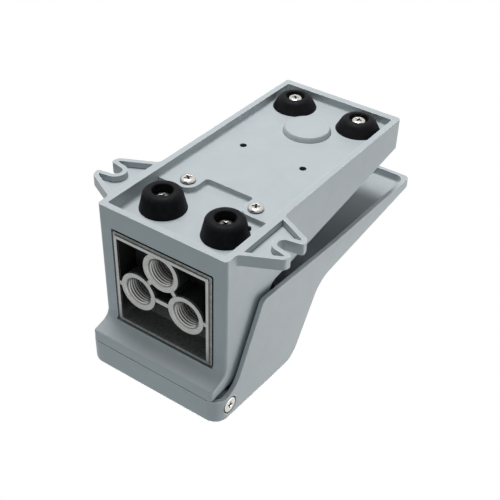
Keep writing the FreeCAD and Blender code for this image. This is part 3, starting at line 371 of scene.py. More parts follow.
class Finish:
    """A material whose patterns read Object coordinates."""

    def __init__(self, name, colour, roughness, metallic=0.0):
        self.material = bpy.data.materials.new(name)
        self.material.use_nodes = True
        self.nodes = self.material.node_tree.nodes
        self.links = self.material.node_tree.links
        self.shader = self.nodes["Principled BSDF"]
        self.shader.inputs["Base Color"].default_value = (*colour, 1.0)
        self.shader.inputs["Roughness"].default_value = roughness
        self.shader.inputs["Metallic"].default_value = metallic
        self.place = self.nodes.new("ShaderNodeTexCoord")
        self.colour = colour

    def noise(self, size, detail=2.0, stretch=(1.0, 1.0, 1.0)):
        """Noise with grains of a size in metres."""
        mapping = self.nodes.new("ShaderNodeMapping")
        mapping.inputs["Scale"].default_value = [value / size for value in stretch]
        self.links.new(self.place.outputs["Object"], mapping.inputs["Vector"])
        noise = self.nodes.new("ShaderNodeTexNoise")
        noise.inputs["Scale"].default_value = 1.0
        noise.inputs["Detail"].default_value = detail
        self.links.new(mapping.outputs["Vector"], noise.inputs["Vector"])
        return noise.outputs["Fac"]

    def ramp(self, value, low, high, start=0.3, end=0.7):
        """Turns a value into a colour between two."""
        ramp = self.nodes.new("ShaderNodeValToRGB")
        ramp.color_ramp.elements[0].position = start
        ramp.color_ramp.elements[0].color = (*low, 1.0)
        ramp.color_ramp.elements[1].position = end
        ramp.color_ramp.elements[1].color = (*high, 1.0)
        self.links.new(value, ramp.inputs["Fac"])
        return ramp.outputs["Color"]

    def spread(self, value, low, high, start=0.3, end=0.7):
        """Maps a value onto a range."""
        node = self.nodes.new("ShaderNodeMapRange")
        node.inputs["From Min"].default_value = start
        node.inputs["From Max"].default_value = end
        node.inputs["To Min"].default_value = low
        node.inputs["To Max"].default_value = high
        self.links.new(value, node.inputs["Value"])
        return node.outputs["Result"]

    def mix(self, factor, first, second):
        """Blends two colours by a factor."""
        node = self.nodes.new("ShaderNodeMix")
        node.data_type = "RGBA"
        self.links.new(factor, node.inputs["Factor"])
        self.links.new(first, node.inputs["A"])
        self.links.new(second, node.inputs["B"])
        return node.outputs["Result"]

    def calculate(self, operation, first, second):
        """One sum of a value with a value or a number."""
        node = self.nodes.new("ShaderNodeMath")
        node.operation = operation
        self.links.new(first, node.inputs[0])
        if isinstance(second, (int, float)):
            node.inputs[1].default_value = second
        else:
            self.links.new(second, node.inputs[1])
        return node.outputs["Value"]

    def axis(self, letter):
        """One axis of the place on the object."""
        node = self.nodes.new("ShaderNodeSeparateXYZ")
        self.links.new(self.place.outputs["Object"], node.inputs["Vector"])
        return node.outputs[letter]

    def into(self, socket, value):
        """Leads a value into one of the shader's sockets."""
        self.links.new(value, self.shader.inputs[socket])

    def bump(self, height, depth):
        """Small relief, with its depth in metres."""
        bump = self.nodes.new("ShaderNodeBump")
        bump.inputs["Strength"].default_value = 1.0
        bump.inputs["Distance"].default_value = depth
        self.links.new(height, bump.inputs["Height"])
        self.into("Normal", bump.outputs["Normal"])

    def mottle(self, size, amount):
        """Colour that wanders a little round the plain one."""
        low = shaded(self.colour, 1 - amount)
        high = shaded(self.colour, 1 + amount)
        self.into("Base Color", self.ramp(self.noise(size, 3.0), low, high))


def shaded(colour, amount):
    """A colour made darker or lighter by a factor."""
    return [min(1.0, value * amount) for value in colour]


def painted_casting(name, colour, roughness):
    """Grey enamel over a die casting: soft orange peel, faint cloudiness and duller patches."""
    finish = Finish(name, colour, roughness)
    finish.mottle(9 * MM, 0.025)
    finish.into("Roughness", finish.spread(finish.noise(4 * MM), roughness - 0.05, roughness + 0.07))
    finish.shader.inputs["Specular IOR Level"].default_value = 0.45
    finish.bump(finish.noise(0.8 * MM, 3.0), 0.018 * MM)
    return finish.material


def raw_casting(settings):
    """Bare die casting with milled faces and a low rim; painted shade fills the pockets, painted light
    pales them by the flange.
    """
    finish = Finish("raw_casting_milled", settings.raw, 0.5, 0.6)
    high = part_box("valve_body")[1]
    cast = finish.ramp(finish.noise(1.4 * MM, 4.0), shaded(settings.raw, 0.7), shaded(settings.raw, 1.3))
    # Painted shade: a near-black, mottled colour for the pockets.
    skin = finish.ramp(finish.noise(2.2 * MM, 3.0), shaded(settings.pocket_shade, 0.6), settings.pocket_shade)
    # Painted light: the pockets grow paler towards the flange.
    pale = finish.spread(finish.axis("Z"), 0.0, 0.6, high.z - 9 * MM, high.z - 2 * MM)
    pocket = finish.mix(pale, skin, cast)
    # The rim's face keeps the cast colour; the rim's step below the milled depth and all deeper faces take
    # the pockets' painted shade.
    rim_face = high.y - settings.rim_depth
    at_rim = finish.spread(finish.axis("Y"), 0.0, 1.0, rim_face - 0.2 * MM, rim_face - 0.1 * MM)
    over_rim = finish.spread(finish.axis("Y"), 1.0, 0.0, rim_face + 0.05 * MM, rim_face + 0.15 * MM)
    rim = finish.calculate("MULTIPLY", at_rim, over_rim)
    streaks = finish.noise(0.5 * MM, 2.0, (0.12, 1.0, 1.0))
    milled = finish.ramp(streaks, shaded(settings.machined, 0.85), shaded(settings.machined, 1.12))
    on_face = finish.calculate("GREATER_THAN", finish.axis("Y"), high.y - settings.milled_depth)
    # Painted reflection of the flange: near it the milled face takes the plain cast colour.
    by_flange = finish.spread(finish.axis("Z"), 0.0, 1.0, high.z - 3.2 * MM, high.z - 2.4 * MM)
    shade = finish.mix(on_face, finish.mix(rim, pocket, cast), finish.mix(by_flange, milled, cast))
    finish.into("Base Color", shade)
    finish.into("Roughness", finish.spread(on_face, 0.55, 0.3, 0.0, 1.0))
    finish.bump(finish.noise(0.5 * MM, 3.0), 0.03 * MM)
    return finish.material


def thread_metal(settings):
    """Cut metal of the threads, with a painted shade that darkens it with depth into the port."""
    finish = Finish("cut_thread_zinc", settings.metal, 0.16, 1.0)
    port_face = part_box("valve_body")[1].y
    # Painted shade: the metal darkens with depth into the port.
    depth = finish.spread(finish.axis("Y"), 1.0, 0.0, port_face - settings.deepest_shade_depth, port_face)
    finish.into("Base Color", finish.ramp(depth, settings.metal, settings.deep, 0.1, 0.8))
    finish.into("Roughness", finish.spread(finish.noise(0.5 * MM), 0.12, 0.22))
    return finish.material


def cut_metal(name, colour, roughness):
    """Turned or cut metal with fine tool marks."""
    grain = 0.35 * MM
    finish = Finish(name, colour, roughness, 1.0)
    finish.mottle(1.2 * MM, 0.06)
    finish.into("Roughness", finish.spread(finish.noise(grain, 2.0), roughness - 0.06, roughness + 0.08))
    finish.bump(finish.noise(grain, 2.0, (0.3, 0.3, 2.0)), 0.006 * MM)
    return finish.material


def rubber(name, colour, roughness=0.5):
    """Moulded rubber: matt, with a fine skin and a slight bloom."""
    finish = Finish(name, colour, roughness)
    bloom = shaded(colour, 1.8)
    finish.into("Base Color", finish.ramp(finish.noise(2.5 * MM, 4.0), colour, bloom, 0.4, 0.8))
    finish.into("Roughness", finish.spread(finish.noise(0.9 * MM), roughness - 0.08, roughness + 0.12))
    finish.shader.inputs["Specular IOR Level"].default_value = 0.07
    finish.bump(finish.noise(0.3 * MM, 3.0), 0.012 * MM)
    return finish.material


def sintered(name, colour):
    """Pressed bronze grains with small pores."""
    grain = 0.45 * MM
    finish = Finish(name, colour, 0.55, 0.8)
    grains = finish.nodes.new("ShaderNodeTexVoronoi")
    grains.inputs["Scale"].default_value = 1 / grain
    finish.links.new(finish.place.outputs["Object"], grains.inputs["Vector"])
    distance = grains.outputs["Distance"]
    finish.into("Base Color", finish.ramp(distance, colour, shaded(colour, 0.35), 0.2, 0.7))
    finish.bump(finish.spread(distance, 1.0, 0.0, 0.0, 1.0), 0.12 * MM)
    return finish.material


def softened(node, name, width, plain, outer, inner):
    """A merged copy of a CAD casting with small soft edges; outer ones take a painted highlight, inner
    ones a painted shade.
    """
    doubles = 0.002 * MM
    flat = math.radians(1.0)
    sharp = math.radians(38)
    mesh = bpy.data.meshes.new_from_object(NODES[node])
    piece = bpy.data.objects.new(name, mesh)
    bpy.context.scene.collection.objects.link(piece)
    alone(piece)
    if mesh.has_custom_normals:
        bpy.ops.mesh.customdata_custom_splitnormals_clear()
    edit(piece)
    bpy.ops.mesh.select_all(action="SELECT")
    bpy.ops.mesh.remove_doubles(threshold=doubles)
    bpy.ops.mesh.dissolve_limited(angle_limit=flat)
    leave()
    mesh.materials.clear()
    for finish in (plain, outer, inner):
        mesh.materials.append(finish)
    for face in mesh.polygons:
        face.material_index = PLAIN
    apply_modifier(
        piece, "BEVEL", "Soft edges", width=width, segments=2, limit_method="ANGLE",
        angle_limit=sharp, use_clamp_overlap=False, material=OUTER,
    )
    # Outer edges keep the painted highlight; inner corners take the painted shade.
    cage = edit(piece)
    for face in cage.faces:
        if face.material_index == OUTER:
            bend = sum(edge.calc_face_angle_signed(0.0) for edge in face.edges)
            face.material_index = OUTER if bend > 0 else INNER
    bmesh.update_edit_mesh(piece.data)
    leave()
    smooth(piece, 45.0)
    apply_modifier(piece, "WEIGHTED_NORMAL", "Flat faces stay flat", keep_sharp=True, weight=60)
    return piece


def coil(y, low, high, radius, wire, turns):
    """A compression spring wound up from one wire, with its end turns closed."""
    steps = 40
    around = 12
    bpy.ops.object.select_all(action="DESELECT")
    bpy.ops.mesh.primitive_circle_add(
        vertices=around, radius=wire, location=(0, 0, 0), rotation=(math.pi / 2, 0, 0),
    )
    piece = bpy.context.view_layer.objects.active
    settle(piece)
    edit(piece)
    bpy.ops.mesh.select_all(action="SELECT")
    bpy.ops.transform.translate(value=(radius, 0, 0))
    leave()
    closed = 2 * wire
    apply_modifier(
        piece, "SCREW", "Wind", axis="Z", angle=FULL_TURN, screw_offset=closed, iterations=turns,
        steps=steps, render_steps=steps, use_smooth_shade=True,
    )
    height = high - low - closed
    middle = (height - 2 * closed) / (turns - 2)
    for index, vertex in enumerate(piece.data.vertices):
        turned = (index // around) / steps
        if turned <= 1:
            wanted = turned * closed
        elif turned <= turns - 1:
            wanted = closed + (turned - 1) * middle
        else:
            wanted = height - (turns - turned) * closed
        vertex.co.z += wanted - turned * closed
    edit(piece)
    bpy.ops.mesh.select_all(action="SELECT")
    bpy.ops.mesh.fill_holes(sides=0)
    bpy.ops.mesh.normals_make_consistent(inside=False)
    leave()
    piece.location = (0, y, low + wire)
    settle(piece)
    smooth(piece, 50.0)
    return piece


def rubber_foot(settings, top, base_radius, tip_radius, seat):
    """One rubber buffer at the origin, tip down at z = 0, with its deep screw hole."""
    shank_hole = 2.0 * MM
    bpy.ops.object.select_all(action="DESELECT")
    bpy.ops.mesh.primitive_circle_add(
        vertices=96, radius=base_radius, fill_type="NGON", location=(0, 0, 0),
    )
    piece = bpy.context.view_layer.objects.active
    edit(piece)
    bpy.ops.mesh.select_all(action="SELECT")
    bpy.ops.transform.translate(value=(0, 0, top))
    bpy.ops.mesh.extrude_region_move(TRANSFORM_OT_translate={"value": (0, 0, -top)})
    ratio = tip_radius / base_radius
    bpy.ops.transform.resize(value=(ratio, ratio, 1), center_override=(0, 0, 0))
    pick_edges(piece, lambda end: near(end.z, 0))
    bpy.ops.mesh.bevel(offset=settings.shoulder, segments=6, affect="EDGES")
    pick_faces(piece, lambda middle, normal: near(middle.z, 0) and abs(normal.z) > 0.99)
    cage = bmesh.from_edit_mesh(piece.data)
    flat = min(radius_of(vertex.co) for vertex in cage.verts if near(vertex.co.z, 0))
    bpy.ops.mesh.inset(thickness=flat - settings.hole, depth=0)
    bpy.ops.mesh.extrude_region_move(TRANSFORM_OT_translate={"value": (0, 0, top - seat)})
    bpy.ops.mesh.inset(thickness=settings.hole - shank_hole, depth=0)
    bpy.ops.mesh.extrude_region_move(TRANSFORM_OT_translate={"value": (0, 0, seat)})
    bpy.ops.mesh.delete(type="ONLY_FACE")
    pick_faces(piece, lambda middle, normal: near(middle.z, top) and radius_of(middle) < 0.1 * MM)
    bpy.ops.mesh.delete(type="ONLY_FACE")
    pick_edges(piece, lambda end: near(end.z, top))
    bpy.ops.mesh.bridge_edge_loops()
    pick_edges(piece, lambda end: near(end.z, 0) and near(radius_of(end), settings.hole, 0.1 * MM))
    bpy.ops.mesh.bevel(offset=settings.hole_edge, segments=4, affect="EDGES")
    leave()
    tidy_normals(piece)
    smooth(piece, 35.0)
    return piece


def cross_cutter(reach, width, depth):
    """Two tapered bars that cut a cross recess upwards from z = 0."""
    taper = (0.42, 0.55, 1)
    bars = []
    for quarter in (0, 1):
        bpy.ops.object.select_all(action="DESELECT")
        bpy.ops.mesh.primitive_cube_add(size=1.0, location=(0, 0, 0))
        bar = bpy.context.view_layer.objects.active
        edit(bar)
        bpy.ops.mesh.select_all(action="SELECT")
        bpy.ops.transform.resize(value=(reach, width, 2 * depth), center_override=(0, 0, 0))
        pick_faces(bar, lambda middle, normal: normal.z > 0.9)
        bpy.ops.transform.resize(value=taper, center_override=(0, 0, 0))
        bpy.ops.mesh.select_all(action="SELECT")
        bpy.ops.transform.rotate(value=quarter * math.pi / 2, orient_axis="Z", center_override=(0, 0, 0))
        leave()
        bars.append(bar)
    return bars


def pan_screw(settings, metals, radius, height, round_edge, shank, shoulder=0.0, shoulder_radius=0.0):
    """One cross recessed screw at the origin that points up, with its head below z = 0."""
    bpy.ops.object.select_all(action="DESELECT")
    bpy.ops.mesh.primitive_circle_add(vertices=64, radius=radius, fill_type="NGON", location=(0, 0, 0))
    piece = bpy.context.view_layer.objects.active
    edit(piece)
    bpy.ops.mesh.select_all(action="SELECT")
    bpy.ops.mesh.extrude_region_move(TRANSFORM_OT_translate={"value": (0, 0, -height)})
    pick_edges(piece, lambda end: near(end.z, -height))
    bpy.ops.mesh.bevel(offset=round_edge, segments=5, affect="EDGES")
    pick_faces(piece, lambda middle, normal: near(middle.z, 0) and abs(normal.z) > 0.9)
    level = radius
    if shoulder:
        bpy.ops.mesh.inset(thickness=radius - shoulder_radius, depth=0)
        bpy.ops.mesh.extrude_region_move(TRANSFORM_OT_translate={"value": (0, 0, shoulder)})
        level = shoulder_radius
    bpy.ops.mesh.inset(thickness=level - settings.shank, depth=0)
    bpy.ops.mesh.extrude_region_move(TRANSFORM_OT_translate={"value": (0, 0, shank)})
    bpy.ops.mesh.bevel(offset=settings.tip, segments=2, affect="EDGES")
    leave()
    tidy_normals(piece)
    for bar in cross_cutter(settings.cross, settings.cross_width, min(settings.cross_depth, height * 0.8)):
        bar.location = (0, 0, -height)
        settle(bar)
        apply_modifier(piece, "BOOLEAN", "Cross", operation="DIFFERENCE", object=bar, solver="EXACT")
        bpy.data.objects.remove(bar)
    apply_modifier(
        piece, "BEVEL", "Worn edges", width=settings.worn, segments=2, limit_method="ANGLE",
        angle_limit=math.radians(40), use_clamp_overlap=True,
    )
    for metal in metals:
        piece.data.materials.append(metal)
    # Painted shade: the cross recess and the straight side band of the head next to its seat take the
    # shaded metal.
    recess_reach = settings.cross / 2 + 0.05 * MM
    recess_low = 0.06 * MM - height
    recess_high = -0.2 * MM
    for face in piece.data.polygons:
        reach = radius_of(face.center)
        in_recess = reach < recess_reach and recess_low < face.center.z < recess_high
        on_side = reach > 0.97 * radius and face.center.z > round_edge - height
        face.material_index = int(in_recess or on_side)
    smooth(piece, 35.0)
    return piece


class FOOTVALVE_OT_castings(bpy.types.Operator):
    """Dress the base, the pedal and the valve body as soft-edged castings"""

    bl_idname = "foot_valve.castings"
    bl_label = "Castings"

    def execute(self, context):
        settings = context.scene.foot_valve_castings
        raw = raw_casting(settings)
        # Plain paint, a paler copy as painted highlight on outer edges, a near-black copy as painted shade
        # in inner corners.
        painted = (
            painted_casting("painted_casting_grey", settings.paint, settings.paint_roughness),
            painted_casting("painted_edge_highlight", settings.worn, settings.paint_roughness),
            painted_casting("painted_corner_shade", settings.corner_shade, settings.paint_roughness),
        )
        for node, body, finishes, slot, width in (
            ("base_housing", "base", painted, "painted_casting", settings.edge),
            ("pedal", "pedal", painted, "painted_casting", settings.pedal_edge),
            ("valve_body", "base", (raw, raw, raw), "raw_casting", settings.raw_edge),
        ):
            piece = softened(node, node + "_casting", width, *finishes)
            if node == "base_housing":
                self.steepen_boss(piece, settings)
                self.shade_tapped_holes(piece)
            finish_piece(piece, node + "_casting", None, body, slot, node)
        return {"FINISHED"}

    def steepen_boss(self, piece, settings):
        """Stands the side of the round boss under the toe nearly upright."""
        middle = Vector((0, SPRING_CUP_Y, 0))
        widest = 11.2 * MM
        foot_of_boss = 5.0 * MM
        cage = edit(piece)
        bpy.ops.mesh.select_mode(type="VERT")
        for vertex in cage.verts:
            vertex.select_set(vertex.co.z < foot_of_boss and radius_of(vertex.co - middle) < widest)
        bmesh.update_edit_mesh(piece.data)
        spread = settings.boss_spread
        bpy.ops.transform.resize(value=(spread, spread, 1), center_override=middle)
        leave()

    def shade_tapped_holes(self, piece):
        """Gives the walls of the two tapped holes in the floor the painted shade of an inner corner."""
        widest = 1.8 * MM
        under_rim = 6.1 * MM
        for side in (1, -1):
            middle = Vector((side * TAPPED_HOLE[0], TAPPED_HOLE[1], 0))
            for face in piece.data.polygons:
                if radius_of(face.center - middle) < widest and face.center.z > under_rim:
                    face.material_index = INNER


class FOOTVALVE_OT_port_threads(bpy.types.Operator):
    """Wind the pipe threads of the three ports"""

    bl_idname = "foot_valve.port_threads"
    bl_label = "Port threads"

    def execute(self, context):
        settings = context.scene.foot_valve_threads
        metal = thread_metal(settings)
        groove = cut_metal("cut_thread_groove", settings.groove, 0.45)
        port_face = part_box("valve_body")[1].y
        depth = settings.bore - settings.crest
        half_width = settings.pitch * 0.48
        steps = 56
        casting = bpy.data.objects["valve_body_casting"]
        casting.data.materials.append(metal)
        for name, x, z in (
            ("supply_port_thread", 0.0, SUPPLY_PORT_Z),
            ("outlet_port_thread_left", -OUTLET_PORT_X, OUTLET_PORT_Z),
            ("outlet_port_thread_right", OUTLET_PORT_X, OUTLET_PORT_Z),
        ):
            bpy.ops.object.select_all(action="DESELECT")
            bpy.ops.mesh.primitive_circle_add(vertices=4, radius=half_width, location=(0, 0, 0))
            piece = context.view_layer.objects.active
            edit(piece)
            bpy.ops.mesh.select_all(action="SELECT")
            bpy.ops.mesh.subdivide(number_cuts=1)
            bpy.ops.transform.resize(value=(depth / half_width, 1, 1), center_override=(0, 0, 0))
            bpy.ops.transform.translate(value=(settings.bore, 0, 0))
            bpy.ops.mesh.select_all(action="DESELECT")
            bpy.ops.mesh.select_mode(type="VERT")
            cage = bmesh.from_edit_mesh(piece.data)
            for vertex in cage.verts:
                vertex.select_set(vertex.co.x < settings.crest + 0.05 * MM)
            bmesh.update_edit_mesh(piece.data)
            bpy.ops.mesh.bevel(offset=settings.crest_round, segments=2, affect="VERTICES")
            leave()
            apply_modifier(
                piece, "SCREW", "Cut", axis="Y", angle=-FULL_TURN, screw_offset=-settings.pitch,
                iterations=settings.turns, steps=steps, render_steps=steps, use_smooth_shade=True,
            )
            edit(piece)
            bpy.ops.mesh.select_all(action="SELECT")
            bpy.ops.mesh.fill_holes(sides=0)
            bpy.ops.mesh.normals_make_consistent(inside=False)
            leave()
            for material in (metal, groove):
                piece.data.materials.append(material)
            root = settings.bore - depth / 2
            for face in piece.data.polygons:
                face.material_index = int(math.hypot(face.center.x, face.center.z) > root)
            piece.location = (x, port_face - settings.start, z)
            settle(piece)
            smooth(piece, 40.0)
            finish_piece(piece, name, None, "base", "raw_casting")
            self.bare_bore(casting, settings, x, z)
        return {"FINISHED"}

    def bare_bore(self, casting, settings, x, z):
        """Leaves a port's wall and chamfer in the casting as cut metal, which takes the threads' painted
        shade with depth.
        """
        widest = settings.bore + 0.4 * MM
        last = len(casting.data.materials) - 1
        for face in casting.data.polygons:
            corners = [casting.data.vertices[index].co for index in face.vertices]
            if all(math.hypot(corner.x - x, corner.z - z) < widest for corner in corners):
                face.material_index = last


class FOOTVALVE_OT_rubber_feet(bpy.types.Operator):
    """Mould the four rubber feet"""

    bl_idname = "foot_valve.rubber_feet"
    bl_label = "Rubber feet"

    def execute(self, context):
        settings = context.scene.foot_valve_feet
        black = rubber("foot_rubber_black", settings.rubber)
        for node, (x, y), top, base_radius, tip_radius, seat in (
            ("rear_rubber_feet", REAR_FOOT, 9.0 * MM, 10.4 * MM, 8.2 * MM, 2.8 * MM),
            ("toe_rubber_feet", TOE_FOOT, 6.0 * MM, 10.9 * MM, 7.6 * MM, 2.2 * MM),
        ):
            foot = rubber_foot(settings, top, base_radius, tip_radius, seat)
            twin = copied(foot, node + "_twin")
            foot.location = (x, y, 0)
            twin.location = (-x, y, 0)
            settle(foot)
            settle(twin)
            parts = [foot, twin]
            if node == "rear_rubber_feet":
                parts.append(self.moulding_tag(settings, x, y))
            pair = joined(parts, node + "_moulded")
            finish_piece(pair, node + "_moulded", black, "base", "foot_rubber", node)
        return {"FINISHED"}

    def moulding_tag(self, settings, x, y):
        """The small tag that the mould leaves on the side of one rear foot."""
        reach = 9.5 * MM
        height = 5.3 * MM
        toward = math.radians(-33.7)
        bpy.ops.object.select_all(action="DESELECT")
        bpy.ops.mesh.primitive_uv_sphere_add(
            segments=24, ring_count=12, radius=settings.tag,
            location=(x + reach * math.cos(toward), y + reach * math.sin(toward), height),
        )
        tag = bpy.context.view_layer.objects.active
        settle(tag)
        smooth(tag, 60.0)
        return tag


class FOOTVALVE_OT_screws(bpy.types.Operator):
    """Turn the cross recessed screws of the feet, the valve body and the hinge"""

    bl_idname = "foot_valve.screws"
    bl_label = "Screws"

    def execute(self, context):
        settings = context.scene.foot_valve_screws
        nickel = cut_metal("nickel_plating_bright", settings.plating, 0.2)
        recessed = cut_metal("nickel_recess_shaded", settings.recess, 0.5)
        # The screws deep in the rear feet take a darker copy of the plating: a painted shade.
        dull = cut_metal("nickel_plating_shaded", settings.dull, 0.3)

        screws = []
        for metal, (x, y), z, turns in (
            (dull, REAR_FOOT, 5.4 * MM, (20, 70)),
            (nickel, TOE_FOOT, 3.0 * MM, (5, 50)),
        ):
            screw = pan_screw(
                settings, (metal, recessed), settings.foot_head,
                height=2.2 * MM, round_edge=1.4 * MM, shank=7.4 * MM,
            )
            screws += self.placed_pair(screw, (x, y, z), turns)
        self.finish_screws(screws, "foot_screws")

        screw = pan_screw(
            settings, (nickel, recessed), settings.body_head,
            height=1.8 * MM, round_edge=1.25 * MM, shank=16.0 * MM,
        )
        self.finish_screws(self.placed_pair(screw, BODY_SCREW, (58, 40)), "body_screws")

        screw = pan_screw(
            settings, (nickel, recessed), settings.pivot_head,
            height=1.3 * MM, round_edge=0.35 * MM, shank=7.0 * MM,
            shoulder=5.25 * MM, shoulder_radius=2.5 * MM,
        )
        pivots = self.placed_pair(screw, PIVOT_SCREW, (20, 80), lean=-math.pi / 2)
        self.finish_screws(pivots, "pivot_screws")
        return {"FINISHED"}

    def placed_pair(self, screw, spot, turns, lean=0.0):
        """A screw and its twin on the other side, each turned about its axis and leaned over sideways."""
        x, y, z = spot
        twin = copied(screw, screw.name + "_twin")
        for one, side, turn in ((screw, 1, turns[0]), (twin, -1, turns[1])):
            one.matrix_world = (
                Matrix.Translation((side * x, y, z))
                @ Matrix.Rotation(side * lean, 4, "Y")
                @ Matrix.Rotation(math.radians(turn), 4, "Z")
            )
            settle(one)
        return [screw, twin]

    def finish_screws(self, screws, node):
        """Joins screws into one piece that stands for their CAD node."""
        name = node + "_turned"
        finish_piece(joined(screws, name), name, None, "base", "nickel_plated_steel", node)


class FOOTVALVE_OT_springs(bpy.types.Operator):
    """Wind the pedal's return spring and the spool's return spring"""

    bl_idname = "foot_valve.springs"
    bl_label = "Springs"

    def execute(self, context):
        settings = context.scene.foot_valve_springs
        steel = cut_metal("spring_steel_wire", settings.steel, 0.32)
        for node, y, low, high, radius, wire in (
            (
                "pedal_return_spring", SPRING_CUP_Y, 6.0 * MM, 47.39 * MM,
                settings.pedal_coil, settings.pedal_wire,
            ),
            (
                "spool_return_spring", SPOOL_Y, 18.2 * MM, 32.0 * MM,
                settings.spool_coil, settings.spool_wire,
            ),
        ):
            piece = coil(y, low, high, radius, wire, settings.turns)
            bends = node == "pedal_return_spring"
            finish_piece(piece, node + "_wound", steel, None if bends else "base", "spring_steel", node)
            if bends:
                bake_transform(piece)
            else:
                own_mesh(piece)
        return {"FINISHED"}


class FOOTVALVE_OT_inner_parts(bpy.types.Operator):
    """Give the pieces inside the valve their metals, rubbers and bronze"""

    bl_idname = "foot_valve.inner_parts"
    bl_label = "Inner parts"

    def execute(self, context):
        settings = context.scene.foot_valve_inner
        aluminium = cut_metal("turned_aluminium_satin", settings.aluminium, 0.3)
        brass = cut_metal("bush_brass_turned", settings.brass, 0.28)
        steel = cut_metal("plunger_steel_ground", settings.steel, 0.22)
        nickel = cut_metal("washer_nickel", settings.nickel, 0.26)
        seal = rubber("seal_rubber_black", settings.seal, 0.42)
        bronze = sintered("sintered_bronze_plug", settings.bronze)
        for node, material in (
            ("spool", aluminium), ("bottom_cap", aluminium), ("spool_seals", seal),
            ("bottom_cap_seal", seal), ("guide_bush_seal", seal), ("plunger_wiper", seal),
            ("snap_ring", steel), ("plunger", steel), ("guide_bush", brass),
            ("exhaust_silencers", bronze), ("foot_washers", nickel),
        ):
            repaint(node, material)
        return {"FINISHED"}


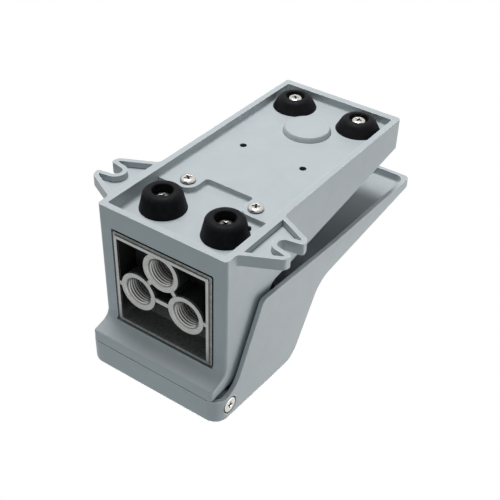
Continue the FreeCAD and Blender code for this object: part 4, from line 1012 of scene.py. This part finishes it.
class FOOTVALVE_OT_stage(bpy.types.Operator):
    """Set the floor, the soft studio light and the camera"""

    bl_idname = "foot_valve.stage"
    bl_label = "Stage"

    def execute(self, context):
        settings = context.scene.foot_valve_stage
        scene = context.scene
        scene.view_settings.view_transform = "Standard"

        bpy.ops.object.select_all(action="DESELECT")
        bpy.ops.mesh.primitive_plane_add(size=settings.floor_size, location=(0, 0, 0))
        floor = context.view_layer.objects.active
        floor.name = "studio_floor"
        floor.data.materials.append(self.floor_finish(settings))

        self.world(scene, settings)
        self.lamp("key_lamp", settings.key, settings.key_place, settings.key_size)
        self.lamp("side_lamp", settings.side, settings.side_place, settings.side_size)
        rear = self.lamp("rear_lamp", settings.rear, settings.rear_place, settings.rear_size)
        rear.data.color = settings.rear_colour
        self.lamp("top_lamp", settings.top, settings.top_place, settings.top_size)

        camera = bpy.data.objects.new("studio_camera", bpy.data.cameras.new("studio_camera"))
        scene.collection.objects.link(camera)
        camera.location = settings.camera_place
        camera.rotation_euler = settings.camera_turn
        camera.data.lens = settings.camera_lens
        camera.data.sensor_width = 36.0
        camera.data.shift_x, camera.data.shift_y = settings.camera_shift
        camera.data.clip_start = 10 * MM
        scene.camera = camera
        return {"FINISHED"}

    def floor_finish(self, settings):
        """A floor that is pale near the object, plain white far off, and seen from above only."""
        finish = Finish("studio_floor_pale", settings.floor, 0.6)
        distance = finish.nodes.new("ShaderNodeVectorMath")
        distance.operation = "LENGTH"
        finish.links.new(finish.place.outputs["Object"], distance.inputs[0])
        off = finish.spread(distance.outputs["Value"], 0.0, 1.0, settings.near, settings.far)
        finish.into("Base Color", finish.ramp(off, settings.floor, (0.0, 0.0, 0.0), 0.0, 1.0))
        finish.into("Emission Strength", finish.spread(off, settings.glow, 1.0, 0.0, 1.0))
        finish.shader.inputs["Emission Color"].default_value = (1, 1, 1, 1)
        finish.shader.inputs["Specular IOR Level"].default_value = 0.0
        path = finish.nodes.new("ShaderNodeLightPath")
        side = finish.nodes.new("ShaderNodeNewGeometry")
        front = finish.calculate("SUBTRACT", path.outputs["Is Camera Ray"], side.outputs["Backfacing"])
        clear = finish.nodes.new("ShaderNodeBsdfTransparent")
        mix = finish.nodes.new("ShaderNodeMixShader")
        finish.links.new(finish.calculate("MAXIMUM", front, 0.0), mix.inputs["Fac"])
        finish.links.new(clear.outputs["BSDF"], mix.inputs[1])
        finish.links.new(finish.shader.outputs["BSDF"], mix.inputs[2])
        finish.links.new(mix.outputs["Shader"], finish.nodes["Material Output"].inputs["Surface"])
        return finish.material

    def world(self, scene, settings):
        """Even, faintly cool light that the camera and reflections see as plain white."""
        world = bpy.data.worlds.new("studio_light")
        scene.world = world
        world.use_nodes = True
        nodes = world.node_tree.nodes
        links = world.node_tree.links
        even = nodes["Background"]
        even.inputs["Color"].default_value = (*settings.shade, 1)
        even.inputs["Strength"].default_value = settings.ambient
        seen = nodes.new("ShaderNodeBackground")
        seen.inputs["Color"].default_value = (1, 1, 1, 1)
        seen.inputs["Strength"].default_value = 1.0
        path = nodes.new("ShaderNodeLightPath")
        first = nodes.new("ShaderNodeMath")
        first.operation = "MAXIMUM"
        links.new(path.outputs["Is Camera Ray"], first.inputs[0])
        links.new(path.outputs["Is Glossy Ray"], first.inputs[1])
        second = nodes.new("ShaderNodeMath")
        second.operation = "MAXIMUM"
        links.new(first.outputs["Value"], second.inputs[0])
        links.new(path.outputs["Is Transmission Ray"], second.inputs[1])
        mix = nodes.new("ShaderNodeMixShader")
        links.new(second.outputs["Value"], mix.inputs["Fac"])
        links.new(even.outputs["Background"], mix.inputs[1])
        links.new(seen.outputs["Background"], mix.inputs[2])
        links.new(mix.outputs["Shader"], nodes["World Output"].inputs["Surface"])

    def lamp(self, name, watts, spot, side):
        """A large soft square lamp that faces the object and that the camera doesn't see."""
        lamp = bpy.data.objects.new(name, bpy.data.lights.new(name, "AREA"))
        bpy.context.scene.collection.objects.link(lamp)
        lamp.data.energy = watts
        lamp.data.size = side
        lamp.location = spot
        lamp.rotation_euler = Vector(spot).to_track_quat("Z", "Y").to_euler()
        lamp.visible_camera = False
        return lamp


class FOOTVALVE_PT_panel(bpy.types.Panel):
    """Lists the pieces of the foot valve in the order they are made"""

    bl_label = "Foot Valve"
    bl_idname = "FOOTVALVE_PT_panel"
    bl_space_type = "VIEW_3D"
    bl_region_type = "UI"
    bl_category = "Foot Valve"

    def draw(self, context):
        for step, name, group in STEPS:
            self.layout.operator(step.bl_idname)
            column = self.layout.column(align=True)
            for size in group.__annotations__:
                column.prop(getattr(context.scene, name), size)


STEPS = (
    (FOOTVALVE_OT_castings, "foot_valve_castings", CastingSettings),
    (FOOTVALVE_OT_port_threads, "foot_valve_threads", ThreadSettings),
    (FOOTVALVE_OT_rubber_feet, "foot_valve_feet", FootSettings),
    (FOOTVALVE_OT_screws, "foot_valve_screws", ScrewSettings),
    (FOOTVALVE_OT_springs, "foot_valve_springs", SpringSettings),
    (FOOTVALVE_OT_inner_parts, "foot_valve_inner", InnerSettings),
    (FOOTVALVE_OT_stage, "foot_valve_stage", StageSettings),
)


def register():
    for step, name, group in STEPS:
        bpy.utils.register_class(group)
        setattr(bpy.types.Scene, name, PointerProperty(type=group))
        bpy.utils.register_class(step)
    bpy.utils.register_class(FOOTVALVE_PT_panel)


def unregister():
    bpy.utils.unregister_class(FOOTVALVE_PT_panel)
    for step, name, group in reversed(STEPS):
        bpy.utils.unregister_class(step)
        delattr(bpy.types.Scene, name)
        bpy.utils.unregister_class(group)


def main():
    """Dresses the frame piece by piece."""
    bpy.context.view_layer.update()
    register()
    bpy.ops.foot_valve.castings()
    bpy.ops.foot_valve.port_threads()
    bpy.ops.foot_valve.rubber_feet()
    bpy.ops.foot_valve.screws()
    bpy.ops.foot_valve.springs()
    bpy.ops.foot_valve.inner_parts()
    bpy.ops.foot_valve.stage()


if __name__ == "__main__":
    main()
